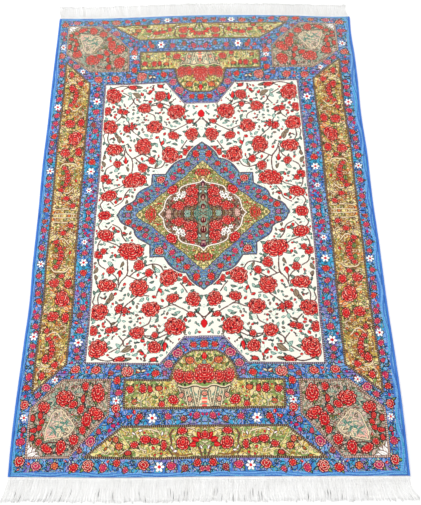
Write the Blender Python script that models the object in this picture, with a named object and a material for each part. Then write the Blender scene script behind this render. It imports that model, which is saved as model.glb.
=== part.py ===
"""A knotted rug that lies flat: the cloth, a corded edge along each side and a warp fringe at each end.

Metres, +Z up. X runs across the rug and Y along it, with the near end at -Y. All of it rests on z = 0.
"""

import math
import random

import bmesh
import bpy
from mathutils import Vector

# Driving dimensions
RUG_WIDTH = 1.000  # over both corded edges
RUG_LENGTH = 1.500  # the knotted cloth, without its fringe
RUG_THICKNESS = 0.0062  # cloth and pile together
RUG_EDGE_ROUND = 0.0012
CORD_WIDTH = 0.0070
CORD_THICKNESS = 0.0056
CORD_EDGE_ROUND = 0.0022
SEAM_GAP = 0.0003  # between two pieces that touch
OUTLINE_STEP = 0.030  # length of one straight stretch of an outline

STRIP_WIDTH = 0.0050  # the woven heading that holds the roots of a fringe
STRIP_THICKNESS = 0.0032
STRIP_STEPS = 32
FRINGE_LENGTH = 0.061
LOCKS_PER_END = 144
LOCK_STEPS = 4  # short lengths that one lock bends in
LOCK_ROOT_SHARE = 0.72  # of the pitch between locks
LOCK_TIP_SHARE = 0.56
LOCK_ROOT_HEIGHT = 0.0028
LOCK_TIP_HEIGHT = 0.0014
LOCK_ROOT_IN = 0.0030  # how deep a lock starts inside its strip
LOCK_SHORTER = 0.007  # the most that a lock falls short of the longest
LOCK_WANDER = 0.0030  # sideways wave of the locks, shared by neighbours
WANDER_ACROSS = 18.0  # radians of that wave from one side of the rug to the other
WANDER_ALONG = 4.5  # radians of it from root to tip
SPLAY_SIDE_POWER = 3  # only the locks near a corner lean out
SPLAY_RUN_POWER = 1.4  # and they lean out more towards their tips
LOCK_SEED = 7

# Each fringe: its direction along Y, how far its corner locks lean out, and how far all of them lean
FRINGES = {
    "near": {"sign": -1, "splay": 0.020, "lean": 0.000},
    "far": {"sign": 1, "splay": 0.003, "lean": -0.008},
}

# How far each edge swells out past its straight line: one smooth bump or hollow a row
EDGE_SWELLS = (
    # edge, middle along it, half its reach, height
    ("left", -0.64, 0.28, 0.0052),
    ("left", -0.29, 0.13, -0.0032),
    ("left", 0.16, 0.19, 0.0030),
    ("left", 0.44, 0.30, 0.0018),
    ("right", -0.56, 0.32, 0.0052),
    ("right", 0.04, 0.18, -0.0024),
    ("right", 0.34, 0.17, -0.0038),
    ("right", 0.67, 0.10, -0.0025),
    ("far", 0.03, 0.50, 0.0080),
    ("far", -0.34, 0.34, -0.0045),
    ("far", 0.44, 0.16, -0.0045),
    ("near", -0.22, 0.26, 0.0022),
)
SWELL_POWER = 3  # a swell fades towards the middle of the rug by this power

# Colour, roughness of each finish
FINISHES = {
    "knotted_pile": ((0.52, 0.09, 0.08, 1.0), 0.90),
    "selvedge_yarn": ((0.10, 0.27, 0.62, 1.0), 0.85),
    "warp_fringe": ((0.86, 0.85, 0.81, 1.0), 0.80),
}


def swell(edge, along):
    """How far an edge stands out at a place along it: the sum of its bumps, each a squared cosine."""
    total = 0.0
    for name, middle, reach, height in EDGE_SWELLS:
        share = (along - middle) / reach
        if name == edge and abs(share) < 1:
            total += height * math.cos(share * math.pi / 2) ** 2
    return total


def swollen(x, y):
    """Where a point of the straight rug lies: each edge's swell moves it, and more so near that edge."""
    side = "right" if x > 0 else "left"
    end = "far" if y > 0 else "near"
    x_share = min(1.0, abs(x) / (RUG_WIDTH / 2)) ** SWELL_POWER
    y_share = min(1.0, abs(y) / (RUG_LENGTH / 2)) ** SWELL_POWER
    moved_x = x + math.copysign(swell(side, y), x) * x_share
    moved_y = y + math.copysign(swell(end, x), y) * y_share
    return Vector((moved_x, moved_y, 0))


def edge_point(edge, along, out=0.0):
    """The point of the knotted cloth's edge at a place along it, moved outwards by out."""
    across = RUG_WIDTH / 2 - CORD_WIDTH - SEAM_GAP + out
    lengthwise = RUG_LENGTH / 2 + out
    places = {
        "left": (-across, along),
        "right": (across, along),
        "near": (along, -lengthwise),
        "far": (along, lengthwise),
    }
    return swollen(*places[edge])


def stations(start, end):
    """Evenly spaced places from start to end, one outline step apart or a little less."""
    count = math.ceil(abs(end - start) / OUTLINE_STEP)
    return [start + (end - start) * i / count for i in range(count + 1)]


def material(name):
    """The plain finish of one kind of piece."""
    made = bpy.data.materials.new(name)
    made.use_nodes = True
    shader = made.node_tree.nodes["Principled BSDF"]
    color, roughness = FINISHES[name]
    shader.inputs["Base Color"].default_value = color
    shader.inputs["Roughness"].default_value = roughness
    shader.inputs["Metallic"].default_value = 0.0
    return made


def add_object(name, data, finish, collection, parent):
    """An object in the collection, with its own material, carried by the parent."""
    made = bpy.data.objects.new(name, data)
    data.materials.append(material(finish))
    collection.objects.link(made)
    made.parent = parent
    return made


def flat_outline(name, points, thickness, edge_round):
    """A flat piece with its middle height at z = 0: a filled outline with rounded edges all round."""
    curve = bpy.data.curves.new(name, "CURVE")
    curve.dimensions = "2D"
    curve.fill_mode = "BOTH"
    curve.extrude = thickness / 2 - edge_round
    curve.bevel_depth = edge_round
    curve.bevel_resolution = 1
    curve.offset = -edge_round
    spline = curve.splines.new("POLY")
    spline.points.add(len(points) - 1)
    for target, point in zip(spline.points, points):
        target.co = (point.x, point.y, 0, 1)
    spline.use_cyclic_u = True
    return curve


def make_cloth(collection, parent):
    """The knotted cloth: one flat piece whose four edges swell as the real ones do."""
    half_width = RUG_WIDTH / 2 - CORD_WIDTH - SEAM_GAP
    half_length = RUG_LENGTH / 2
    outline = []
    outline += [edge_point("near", x) for x in stations(-half_width, half_width)][:-1]
    outline += [edge_point("right", y) for y in stations(-half_length, half_length)][:-1]
    outline += [edge_point("far", x) for x in stations(half_width, -half_width)][:-1]
    outline += [edge_point("left", y) for y in stations(half_length, -half_length)][:-1]
    curve = flat_outline("knotted_rug", outline, RUG_THICKNESS, RUG_EDGE_ROUND)
    cloth = add_object("knotted_rug", curve, "knotted_pile", collection, parent)
    cloth.location.z = RUG_THICKNESS / 2
    return cloth


def make_selvedge(side, collection, parent):
    """The corded edge beside the cloth, from one end of it to the other."""
    half_length = RUG_LENGTH / 2
    inner = [edge_point(side, y, SEAM_GAP) for y in stations(-half_length, half_length)]
    outer = [edge_point(side, y, SEAM_GAP + CORD_WIDTH) for y in stations(half_length, -half_length)]
    outline = inner + outer
    if side == "right":
        outline.reverse()
    name = f"selvedge_{side}"
    curve = flat_outline(name, outline, CORD_THICKNESS, CORD_EDGE_ROUND)
    cord = add_object(name, curve, "selvedge_yarn", collection, parent)
    cord.location.z = CORD_THICKNESS / 2
    return cord


def add_block(mesh, steps, along_axis, place):
    """A unit block cut into steps along one axis; place moves each of its points from (0 to 1) shares."""
    made = bmesh.ops.create_cube(mesh, size=1.0)
    block = made["verts"]
    bmesh.ops.translate(mesh, verts=block, vec=(0.5, 0.5, 0.5))
    for step in range(1, steps):
        cut_at = Vector((0, 0, 0))
        normal = Vector((0, 0, 0))
        cut_at[along_axis] = step / steps
        normal[along_axis] = 1
        edges = list(dict.fromkeys(edge for vert in block for edge in vert.link_edges))
        faces = list(dict.fromkeys(face for vert in block for face in vert.link_faces))
        cut = bmesh.ops.bisect_plane(
            mesh, geom=block + edges + faces, plane_co=cut_at, plane_no=normal
        )
        block = [item for item in cut["geom"] if isinstance(item, bmesh.types.BMVert)]
    for vert in block:
        vert.co = place(vert.co)


def make_strip(end):
    """The narrow heading of a fringe: it follows the cloth's edge and lies a seam's gap away from it."""
    mesh = bmesh.new()
    half_width = (RUG_WIDTH - CORD_WIDTH) / 2

    def place(share):
        along = (2 * share.x - 1) * half_width
        point = edge_point(end, along, SEAM_GAP + STRIP_WIDTH * share.y)
        point.z = STRIP_THICKNESS * share.z
        return point

    add_block(mesh, STRIP_STEPS, 0, place)
    return mesh


def make_locks(end):
    """The locks of a fringe: flat-bottomed, tapering, leaning together, and a little uneven in length."""
    mesh = bmesh.new()
    fringe = FRINGES[end]
    dice = random.Random(f"{LOCK_SEED} {end}")
    half_width = (RUG_WIDTH - CORD_WIDTH) / 2
    pitch = 2 * half_width / LOCKS_PER_END
    longest = LOCKS_PER_END // 2
    for number in range(LOCKS_PER_END):
        root_x = -half_width + (number + 0.5) * pitch
        root = edge_point(end, root_x, SEAM_GAP + STRIP_WIDTH - LOCK_ROOT_IN)
        shorter = 0.0 if number == longest else dice.random() * LOCK_SHORTER
        length = FRINGE_LENGTH - STRIP_WIDTH + LOCK_ROOT_IN - shorter
        side_share = root_x / half_width

        def place(share):
            run = share.y
            width = pitch * (LOCK_ROOT_SHARE + (LOCK_TIP_SHARE - LOCK_ROOT_SHARE) * run)
            height = LOCK_ROOT_HEIGHT + (LOCK_TIP_HEIGHT - LOCK_ROOT_HEIGHT) * run
            splay = fringe["splay"] * side_share**SPLAY_SIDE_POWER * run**SPLAY_RUN_POWER
            turn = WANDER_ACROSS * root_x / RUG_WIDTH + WANDER_ALONG * run
            drift = splay + fringe["lean"] * run + LOCK_WANDER * math.sin(turn) * run
            x = root.x + drift + (share.x - 0.5) * width
            return Vector((x, root.y + fringe["sign"] * length * run, height * share.z))

        add_block(mesh, LOCK_STEPS, 1, place)
    return mesh


def mesh_data(name, end, mesh):
    """The bmesh as mesh data, its faces turned outwards where its end mirrors it, and the bmesh freed."""
    if FRINGES[end]["sign"] < 0:
        bmesh.ops.reverse_faces(mesh, faces=mesh.faces)
    data = bpy.data.meshes.new(name)
    mesh.to_mesh(data)
    mesh.free()
    return data


def make_fringe(end, collection, helpers, parent):
    """One fringe: the strip, joined with all its locks into one body."""
    name = f"fringe_{end}"
    strip_data = mesh_data(name, end, make_strip(end))
    strip = add_object(name, strip_data, "warp_fringe", collection, parent)
    locks_name = f"locks_{end}"
    locks = bpy.data.objects.new(locks_name, mesh_data(locks_name, end, make_locks(end)))
    helpers.objects.link(locks)
    locks.parent = parent
    locks.hide_render = True
    locks.display_type = "WIRE"
    union = strip.modifiers.new("join_locks", "BOOLEAN")
    union.operation = "UNION"
    union.solver = "EXACT"
    union.object = locks
    return strip


def centre_in_plan(parent, pieces):
    """Moves the parent so that the box around all the pieces is centred on x = 0 and y = 0."""
    bpy.context.view_layer.update()
    graph = bpy.context.evaluated_depsgraph_get()
    points = []
    for piece in pieces:
        evaluated = piece.evaluated_get(graph)
        points += [evaluated.matrix_world @ vert.co for vert in evaluated.to_mesh().vertices]
        evaluated.to_mesh_clear()
    for axis in (0, 1):
        values = [point[axis] for point in points]
        parent.location[axis] = -(min(values) + max(values)) / 2


def main():
    for old in list(bpy.data.objects):
        bpy.data.objects.remove(old, do_unlink=True)
    collection = bpy.data.collections.new("persian_rug")
    helpers = bpy.data.collections.new("fringe_helpers")
    bpy.context.scene.collection.children.link(collection)
    bpy.context.scene.collection.children.link(helpers)
    parent = bpy.data.objects.new("rug_origin", None)
    collection.objects.link(parent)
    pieces = [make_cloth(collection, parent)]
    pieces += [make_selvedge(side, collection, parent) for side in ("left", "right")]
    pieces += [make_fringe(end, collection, helpers, parent) for end in FRINGES]
    centre_in_plan(parent, pieces)


main()
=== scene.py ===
# %% [markdown]
# # A knotted rug, from its frame to its knots
#
# The rug is one cloth of about a million and a half knots, with a corded edge along each side and its own
# warp ends left as a fringe at both ends. The construction already holds the pieces at their real size. This
# lesson gives them their looks: the woven pattern knot by knot, the pile, the wrapped cords and the loose
# yarn of the fringe.
#
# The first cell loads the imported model. Everything that follows is placed by it.

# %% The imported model
import math

import bpy
import numpy as np
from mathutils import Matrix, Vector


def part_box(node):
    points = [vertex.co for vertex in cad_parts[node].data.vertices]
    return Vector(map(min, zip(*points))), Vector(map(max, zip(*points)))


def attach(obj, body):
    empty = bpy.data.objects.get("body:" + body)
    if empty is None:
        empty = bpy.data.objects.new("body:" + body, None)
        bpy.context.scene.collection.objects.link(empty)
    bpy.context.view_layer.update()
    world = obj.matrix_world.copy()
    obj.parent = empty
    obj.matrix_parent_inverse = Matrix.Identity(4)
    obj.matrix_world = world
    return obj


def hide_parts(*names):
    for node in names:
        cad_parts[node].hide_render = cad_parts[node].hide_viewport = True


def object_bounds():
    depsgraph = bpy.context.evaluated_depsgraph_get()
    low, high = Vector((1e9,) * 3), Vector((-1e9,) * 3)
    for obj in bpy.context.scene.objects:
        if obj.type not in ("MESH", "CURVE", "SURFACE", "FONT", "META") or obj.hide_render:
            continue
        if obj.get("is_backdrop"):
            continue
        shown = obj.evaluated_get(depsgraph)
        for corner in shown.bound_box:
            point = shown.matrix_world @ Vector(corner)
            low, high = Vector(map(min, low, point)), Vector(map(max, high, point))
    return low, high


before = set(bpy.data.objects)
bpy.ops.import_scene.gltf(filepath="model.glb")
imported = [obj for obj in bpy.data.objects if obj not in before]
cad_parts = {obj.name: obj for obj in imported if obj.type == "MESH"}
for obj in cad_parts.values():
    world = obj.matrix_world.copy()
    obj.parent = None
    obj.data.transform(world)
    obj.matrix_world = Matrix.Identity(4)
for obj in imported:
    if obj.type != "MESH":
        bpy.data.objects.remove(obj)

cad_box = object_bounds()
print("The packed model holds", ", ".join(sorted(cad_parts)))

# %% [markdown]
# ## Sizes
#
# The solids say how thick each piece is and where the rug lies. The driving values of the construction, such
# as how its edges swell and how its locks of fringe lean, are repeated here in metres, so that the fine
# surfaces follow the solids. An edge that swells takes the rug near it along, so one function moves every
# place of the straight rug to where it lies on the real one.

# %% Sizes of the rug
MM = 0.001
SEAM_GAP = 0.3 * MM
CORD_WIDTH = 7 * MM
HALF_RUG = 500 * MM
HALF_WIDTH = HALF_RUG - CORD_WIDTH - SEAM_GAP
HALF_LENGTH = 750 * MM
CORD_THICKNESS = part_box("selvedge_left")[1].z
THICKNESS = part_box("knotted_rug")[1].z

# How far each edge swells past its straight line, in metres: one smooth bump or hollow a row
EDGE_SWELLS = (
    # edge, middle along it, half its reach, height
    ("left", -0.64, 0.28, 0.0052),
    ("left", -0.29, 0.13, -0.0032),
    ("left", 0.16, 0.19, 0.0030),
    ("left", 0.44, 0.30, 0.0018),
    ("right", -0.56, 0.32, 0.0052),
    ("right", 0.04, 0.18, -0.0024),
    ("right", 0.34, 0.17, -0.0038),
    ("right", 0.67, 0.10, -0.0025),
    ("far", 0.03, 0.50, 0.0080),
    ("far", -0.34, 0.34, -0.0045),
    ("far", 0.44, 0.16, -0.0045),
    ("near", -0.22, 0.26, 0.0022),
)
SWELL_POWER = 3  # a swell fades towards the middle of the rug by this power


def swell(edge, along):
    """How far an edge stands out at places along it: a sum of squared cosines, each over its own reach."""
    total = 0 * along
    for name, middle, reach, height in EDGE_SWELLS:
        if name == edge:
            share = np.clip((along - middle) / reach, -1, 1)
            total = total + height * np.cos(share * np.pi / 2) ** 2
    return total


# The near end of the left cord is straight, and its outer side stands out as far as the largest swell there
left_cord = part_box("selvedge_left")[0]
CENTRE_X = left_cord.x + HALF_RUG + swell("left", np.linspace(-HALF_LENGTH, HALF_LENGTH, 501)).max()
CENTRE_Y = left_cord.y + HALF_LENGTH


def swollen(x, y):
    """Where places of the straight rug, measured from its middle, lie: moved by the swell of the edge on
    their side and of the edge at their end, each times the third power of the way to that edge."""
    x_share = np.minimum(1, np.abs(x) / HALF_RUG) ** SWELL_POWER
    y_share = np.minimum(1, np.abs(y) / HALF_LENGTH) ** SWELL_POWER
    moved_x = x + np.where(x > 0, swell("right", y), -swell("left", y)) * x_share
    moved_y = y + np.where(y > 0, swell("far", x), -swell("near", x)) * y_share
    return CENTRE_X + moved_x, CENTRE_Y + moved_y


print(f"Cloth {2000 * HALF_WIDTH:.1f} x {2000 * HALF_LENGTH:.1f} x {1000 * THICKNESS:.1f} mm")

# %% [markdown]
# ## Camera
#
# The camera stands above the near end and looks down at about 66 degrees, as in the picture. Its place comes
# from the rug's four corners: a pinhole camera that sees them where the picture has them. A lens is given by
# its focal length in pixels, which the sensor's width turns into millimetres.

# %% Camera
PHOTO_HEIGHT = 505  # pixels; a picture taller than wide has the sensor's width along its height
SENSOR_MM = 36.0
FOCAL_PIXELS = 642.9
AXIS_LEFT_OF_MIDDLE = 14.09  # pixels from the picture's middle to the lens axis
CAMERA_STANDS = (-0.0157, -0.8954, 1.6959)  # metres from the rug's middle on the floor
CAMERA_TURNS = (24.104, 0.531, -0.130)  # degrees; unturned, a camera looks straight down

camera = bpy.data.objects.new("camera", bpy.data.cameras.new("camera"))
bpy.context.scene.collection.objects.link(camera)
camera.data.sensor_width = SENSOR_MM
camera.data.lens = FOCAL_PIXELS * SENSOR_MM / PHOTO_HEIGHT
camera.data.shift_x = AXIS_LEFT_OF_MIDDLE / PHOTO_HEIGHT
camera.location = (CENTRE_X + CAMERA_STANDS[0], CENTRE_Y + CAMERA_STANDS[1], CAMERA_STANDS[2])
camera.rotation_euler = [math.radians(angle) for angle in CAMERA_TURNS]
bpy.context.scene.camera = camera
print(f"Lens {camera.data.lens:.1f} mm, {camera.location.z:.2f} m above the floor")

# %% [markdown]
# ## Finishes by arithmetic
#
# A finish is a tree of nodes. Wired one by one, even a small formula is hard to read. So one small class
# wraps an output of a node and lets Python's own signs stand for Math nodes: `1 - mask * 0.5` adds two nodes
# and gives the result's output. Every other node comes from `Finish.node`, which sets a node's settings
# first and then the values or links of its sockets. The few kinds of node that every finish needs have short
# methods of their own.


# %% Yarn-dyer's arithmetic
def linear(red, green, blue):
    """A colour in the renderer's scene-linear light, from the 0 to 255 that a screen shows."""
    shown = np.array([red, green, blue]) / 255
    low = shown / 12.92
    high = ((shown + 0.055) / 1.055) ** 2.4
    return tuple(float(value) for value in np.where(shown <= 0.04045, low, high))


class Wire:
    """An output of a node. Arithmetic on it adds Math nodes, and each result is a wire again."""

    def __init__(self, finish, socket):
        self.finish = finish
        self.socket = socket

    def __add__(self, other):
        return self.finish.math("ADD", self, other)

    def __sub__(self, other):
        return self.finish.math("SUBTRACT", self, other)

    def __rsub__(self, other):
        return self.finish.math("SUBTRACT", other, self)

    def __mul__(self, other):
        return self.finish.math("MULTIPLY", self, other)

    def __truediv__(self, other):
        return self.finish.math("DIVIDE", self, other)

    def __gt__(self, other):
        return self.finish.math("GREATER_THAN", self, other)

    __radd__ = __add__
    __rmul__ = __mul__


class Finish:
    """A material under construction, with a Principled BSDF as its last node."""

    def __init__(self, name):
        self.material = bpy.data.materials.new(name)
        self.material.use_nodes = True
        self.tree = self.material.node_tree
        self.shader = self.tree.nodes["Principled BSDF"]

    def feed(self, socket, value):
        """Links a wire to a socket, or sets the socket to a value."""
        if isinstance(value, Wire):
            self.tree.links.new(value.socket, socket)
        else:
            socket.default_value = value

    def node(self, kind, settings, sockets, output=0):
        """Adds a node, sets it up, feeds its sockets and gives the wire of one of its outputs."""
        made = self.tree.nodes.new("ShaderNode" + kind)
        for name, value in settings.items():
            if name == "stops":
                self.set_stops(made.color_ramp, value)
            else:
                setattr(made, name, value)
        for name, value in sockets.items():
            self.feed(made.inputs[name], value)
        return Wire(self, made.outputs[output])

    def set_stops(self, ramp, stops):
        """Gives a ramp its stops: pairs of a place from 0 to 1 and a colour."""
        while len(ramp.elements) < len(stops):
            ramp.elements.new(1.0)
        for element, (place, color) in zip(ramp.elements, stops):
            element.position = place
            element.color = (*color, 1.0)

    def math(self, operation, *values):
        """A Math node of its values."""
        return self.node("Math", {"operation": operation}, dict(enumerate(values)))

    def attribute(self, name):
        """The vector of a named attribute of the mesh."""
        return self.node("Attribute", {"attribute_name": name}, {}, 1)

    def place(self):
        """The place on the piece, in metres."""
        return self.node("TexCoord", {}, {}, 3)

    def parts(self, vector):
        """The three numbers of a vector."""
        first = self.node("SeparateXYZ", {}, {0: vector})
        return [Wire(self, socket) for socket in first.socket.node.outputs]

    def noise(self, vector, scale, detail, roughness=0.5):
        """Soft random patches from 0 to 1, with about as many to the metre as the scale says."""
        sockets = {"Vector": vector, "Scale": scale, "Detail": detail, "Roughness": roughness}
        return self.node("TexNoise", {}, sockets)

    def ramp(self, wire, *stops):
        """A colour for each value of a wire, from pairs of a value and a screen's colour."""
        stops = [(place, linear(*color)) for place, color in stops]
        return self.node("ValToRGB", {"stops": stops}, {0: wire})

    def grey(self, wire):
        """The grey of a value."""
        return self.node("CombineColor", {}, {0: wire, 1: wire, 2: wire})

    def mix(self, mode, color, other, amount=1.0):
        """Blends another colour over a colour."""
        return self.node("Mix", {"data_type": "RGBA", "blend_type": mode}, {0: amount, 6: color, 7: other}, 2)

    def relief(self, height, strength, distance):
        """A normal that leans as a relief's slopes do: a height of 1 stands for a distance in metres."""
        return self.node("Bump", {}, {"Strength": strength, "Distance": distance, "Height": height})

    def set_surface(self, **sockets):
        """Feeds the last node: a socket's name is written with _ for its spaces."""
        for name, value in sockets.items():
            self.feed(self.shader.inputs[name.replace("_", " ")], value)


print("Wires and finishes are ready")

# %% [markdown]
# ## Floor and light
#
# The rug was shown on white, in even light with hardly a shadow. A pale floor and a white surround at about
# the same brightness do that. One large soft lamp, high and a little to the side, keeps enough direction in
# the light for the pile and the cords to show their relief. The view transform is set to Standard, so that
# the dyes come out as strong as they are mixed.

# %% Floor and light
FLOOR_REACH = 12.0
SURROUND_STRENGTH = 0.86
LAMP_WATTS = 34.0
LAMP_SIZE = 2.2
LAMP_PLACE = (-0.9, 0.7, 2.6)

scene = bpy.context.scene
scene.view_settings.view_transform = "Standard"
scene.view_settings.look = "None"

surround = bpy.data.worlds.new("surround")
surround.use_nodes = True
surround.node_tree.nodes["Background"].inputs["Color"].default_value = (1.0, 1.0, 1.0, 1.0)
surround.node_tree.nodes["Background"].inputs["Strength"].default_value = SURROUND_STRENGTH
scene.world = surround

lamp = bpy.data.objects.new("soft_lamp", bpy.data.lights.new("soft_lamp", "AREA"))
scene.collection.objects.link(lamp)
lamp.data.energy = LAMP_WATTS
lamp.data.size = LAMP_SIZE
lamp.location = LAMP_PLACE
lamp.rotation_euler = (-lamp.location).to_track_quat("-Z", "Y").to_euler()

paper = Finish("pale_floor")
mottle = paper.noise(paper.place(), 3.0, 4.0)
paper_color = paper.ramp(mottle, (0.3, (250, 250, 249)), (0.7, (254, 254, 254)))
paper.set_surface(Base_Color=paper_color, Roughness=0.9, Specular_IOR_Level=0.0)

bpy.ops.mesh.primitive_plane_add(size=2 * FLOOR_REACH)
floor = bpy.context.object
floor.name = "floor"
floor.data.materials.append(paper.material)
floor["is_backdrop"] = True
print("Floor, surround and one soft lamp")

# %% [markdown]
# ## The dyer's yarns
#
# A rug's colours are few: the weaver has a rack of dyed yarns and ties each knot from one of them. The
# pattern is therefore a chart of yarn numbers and not a picture, and a change of dye changes every knot of
# that yarn. The rack holds 32 yarns, so a number fits in five bits, which matters when the chart goes into
# the mesh.

# %% Yarns
YARNS = {
    # name: colour as a screen shows it
    "ivory": (250, 245, 233),
    "white": (255, 254, 250),
    "cream": (240, 221, 184),
    "mint": (196, 222, 206),
    "sage": (134, 166, 144),
    "teal": (52, 116, 104),
    "deep_teal": (22, 54, 54),
    "leaf_green": (132, 162, 88),
    "olive": (120, 108, 50),
    "dark_olive": (56, 52, 32),
    "brown": (124, 80, 66),
    "dark_brown": (62, 34, 36),
    "red": (218, 16, 28),
    "scarlet": (252, 104, 88),
    "maroon": (90, 0, 14),
    "pink": (252, 190, 172),
    "magenta": (206, 38, 96),
    "plum": (92, 22, 62),
    "orange": (226, 122, 58),
    "gold": (214, 182, 86),
    "pale_gold": (240, 224, 146),
    "deep_gold": (156, 114, 42),
    "navy": (26, 32, 68),
    "blue": (66, 122, 199),
    "sky": (118, 174, 230),
    "cyan": (60, 164, 206),
    "violet": (128, 114, 186),
    "slate": (106, 110, 140),
    "taupe": (156, 134, 108),
    "dark_taupe": (92, 76, 62),
    "grey_rose": (212, 182, 170),
    "lilac": (190, 178, 208),
}
NUMBER = {name: number for number, name in enumerate(YARNS)}
print(len(YARNS), "yarns on the rack")

# %% [markdown]
# ## The weaver's chart
#
# The rug's four quarters mirror each other, so the chart is drawn for one quarter and repeated later. Knots
# are about 1 mm apart, and a place in the chart is in knots from the rug's middle: x to the side, y towards
# an end. Drawing works on whole arrays: a motif takes the patch of chart around it, works out a mask from
# the knots' places there, and dyes the knots that the mask marks. The chart also remembers which knots a
# motif has taken, so that the last small motifs find what is still bare.

# %% The chart
QUARTER_ACROSS = 486
QUARTER_ALONG = 750


class Chart:
    """A quarter of the rug: the yarn of each knot, the knots' places, and the part that may be drawn on."""

    def __init__(self, across, along):
        self.knots = np.zeros((along, across), np.uint8)
        self.taken = np.zeros((along, across), bool)
        self.x, self.y = np.meshgrid(np.arange(across) + 0.5, np.arange(along) + 0.5)
        self.whole = np.ones((along, across), bool)
        self.within = self.whole

    def near(self, x, y, reach, turn=0.0):
        """The patch around a place, and its knots' places from there, turned back by an angle in degrees."""
        along, across = self.knots.shape
        rows = slice(max(0, int(y - reach)), max(0, min(along, int(y + reach) + 1)))
        columns = slice(max(0, int(x - reach)), max(0, min(across, int(x + reach) + 1)))
        right, down = self.x[rows, columns] - x, self.y[rows, columns] - y
        c, s = math.cos(math.radians(turn)), math.sin(math.radians(turn))
        return (rows, columns), right * c + down * s, down * c - right * s

    def dye(self, mask, yarn, patch=(slice(None), slice(None)), bare=False):
        """Gives the knots of a patch that the mask marks a yarn, where drawing is allowed."""
        marked = mask & self.within[patch]
        self.knots[patch][marked] = NUMBER[yarn]
        self.taken[patch][marked] = not bare


chart = Chart(QUARTER_ACROSS, QUARTER_ALONG)
print("A quarter has", chart.knots.size, "knots")


# %% Outlines
class Outline:
    """A closed figure of the layout: the knots inside it by the even-odd rule, how far each lies from its
    nearest side, and how far along the figure that nearest place is."""

    def __init__(self, corners):
        self.inside = np.zeros(chart.x.shape, bool)
        self.away = np.full(chart.x.shape, 1e9)
        self.run = np.zeros(chart.x.shape)
        gone = 0.0
        for (ax, ay), (bx, by) in zip(corners, [*corners[1:], corners[0]]):
            if ay != by:
                meets = (bx - ax) * (chart.y - ay) / (by - ay) + ax
                self.inside ^= ((ay > chart.y) != (by > chart.y)) & (chart.x < meets)
            length = math.hypot(bx - ax, by - ay)
            share = ((chart.x - ax) * (bx - ax) + (chart.y - ay) * (by - ay)) / length**2
            share = np.clip(share, 0, 1)
            side = np.hypot(chart.x - ax - share * (bx - ax), chart.y - ay - share * (by - ay))
            self.run = np.where(side < self.away, gone + share * length, self.run)
            self.away = np.minimum(self.away, side)
            gone += length

    def within(self, gap):
        """The knots inside that lie further than a gap from every side."""
        return self.inside & (self.away > gap)


def smooth_path(points, step=1.5):
    """A smooth line through the points: a Catmull-Rom curve read at even steps."""
    p = np.array([points[0], *points, points[-1]], float)
    runs = []
    for a, b, c, d in zip(p, p[1:], p[2:], p[3:]):
        t = np.linspace(0, 1, max(3, int(np.hypot(*(c - b)) / step)), endpoint=False)[:, None]
        square = (2 * a - 5 * b + 4 * c - d) * t**2
        cube = (3 * b - a - 3 * c + d) * t**3
        runs.append(0.5 * (2 * b + (c - a) * t + square + cube))
    return np.vstack([*runs, p[-1:]])


def lobed(*lobes):
    """A figure outlined by a chain of smooth lobes that meet in points, closed round the middle."""
    corners = [tuple(place) for lobe in lobes for place in smooth_path(lobe, 7.0)[:-1]]
    return Outline([*corners, lobes[-1][-1], (-9, -9)])


print("Outlines can be drawn")


# %% Clouds and vines
WAVES = 16


def cloud(size, seed):
    """Soft patches from 0 to 1 over the chart: random values on a coarse grid, blended with eased weights."""
    rows, columns = chart.knots.shape
    coarse = np.random.default_rng(seed).random((int(rows / size) + 3, int(columns / size) + 3))
    v, u = np.meshgrid(np.arange(rows) / size, np.arange(columns) / size, indexing="ij")
    i, j = v.astype(int), u.astype(int)
    a, b = v - i, u - j
    a, b = a * a * (3 - 2 * a), b * b * (3 - 2 * b)
    first = coarse[i, j] * (1 - b) + coarse[i, j + 1] * b
    second = coarse[i + 1, j] * (1 - b) + coarse[i + 1, j + 1] * b
    return first * (1 - a) + second * a


def vines(mask, yarn, size, seed, width, level):
    """Thin curling vines: the lines along which a sum of random waves has one level. The waves' slope turns
    the distance from that level into a distance in knots."""
    dice = np.random.default_rng(seed)
    height, across, along = 0 * chart.x, 0 * chart.x, 0 * chart.x
    for _ in range(WAVES):
        turn, start, stretch = dice.random(3)
        pace = 2 * np.pi / (size * (0.8 + 0.5 * stretch))
        a, b = pace * math.cos(2 * np.pi * turn), pace * math.sin(2 * np.pi * turn)
        angle = a * chart.x + b * chart.y + 2 * np.pi * start
        slope = np.sin(angle)
        height += np.cos(angle)
        across += a * slope
        along += b * slope
    chart.dye(mask & (np.abs(height - level) < np.hypot(across, along) * width / 2), yarn, bare=True)


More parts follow.
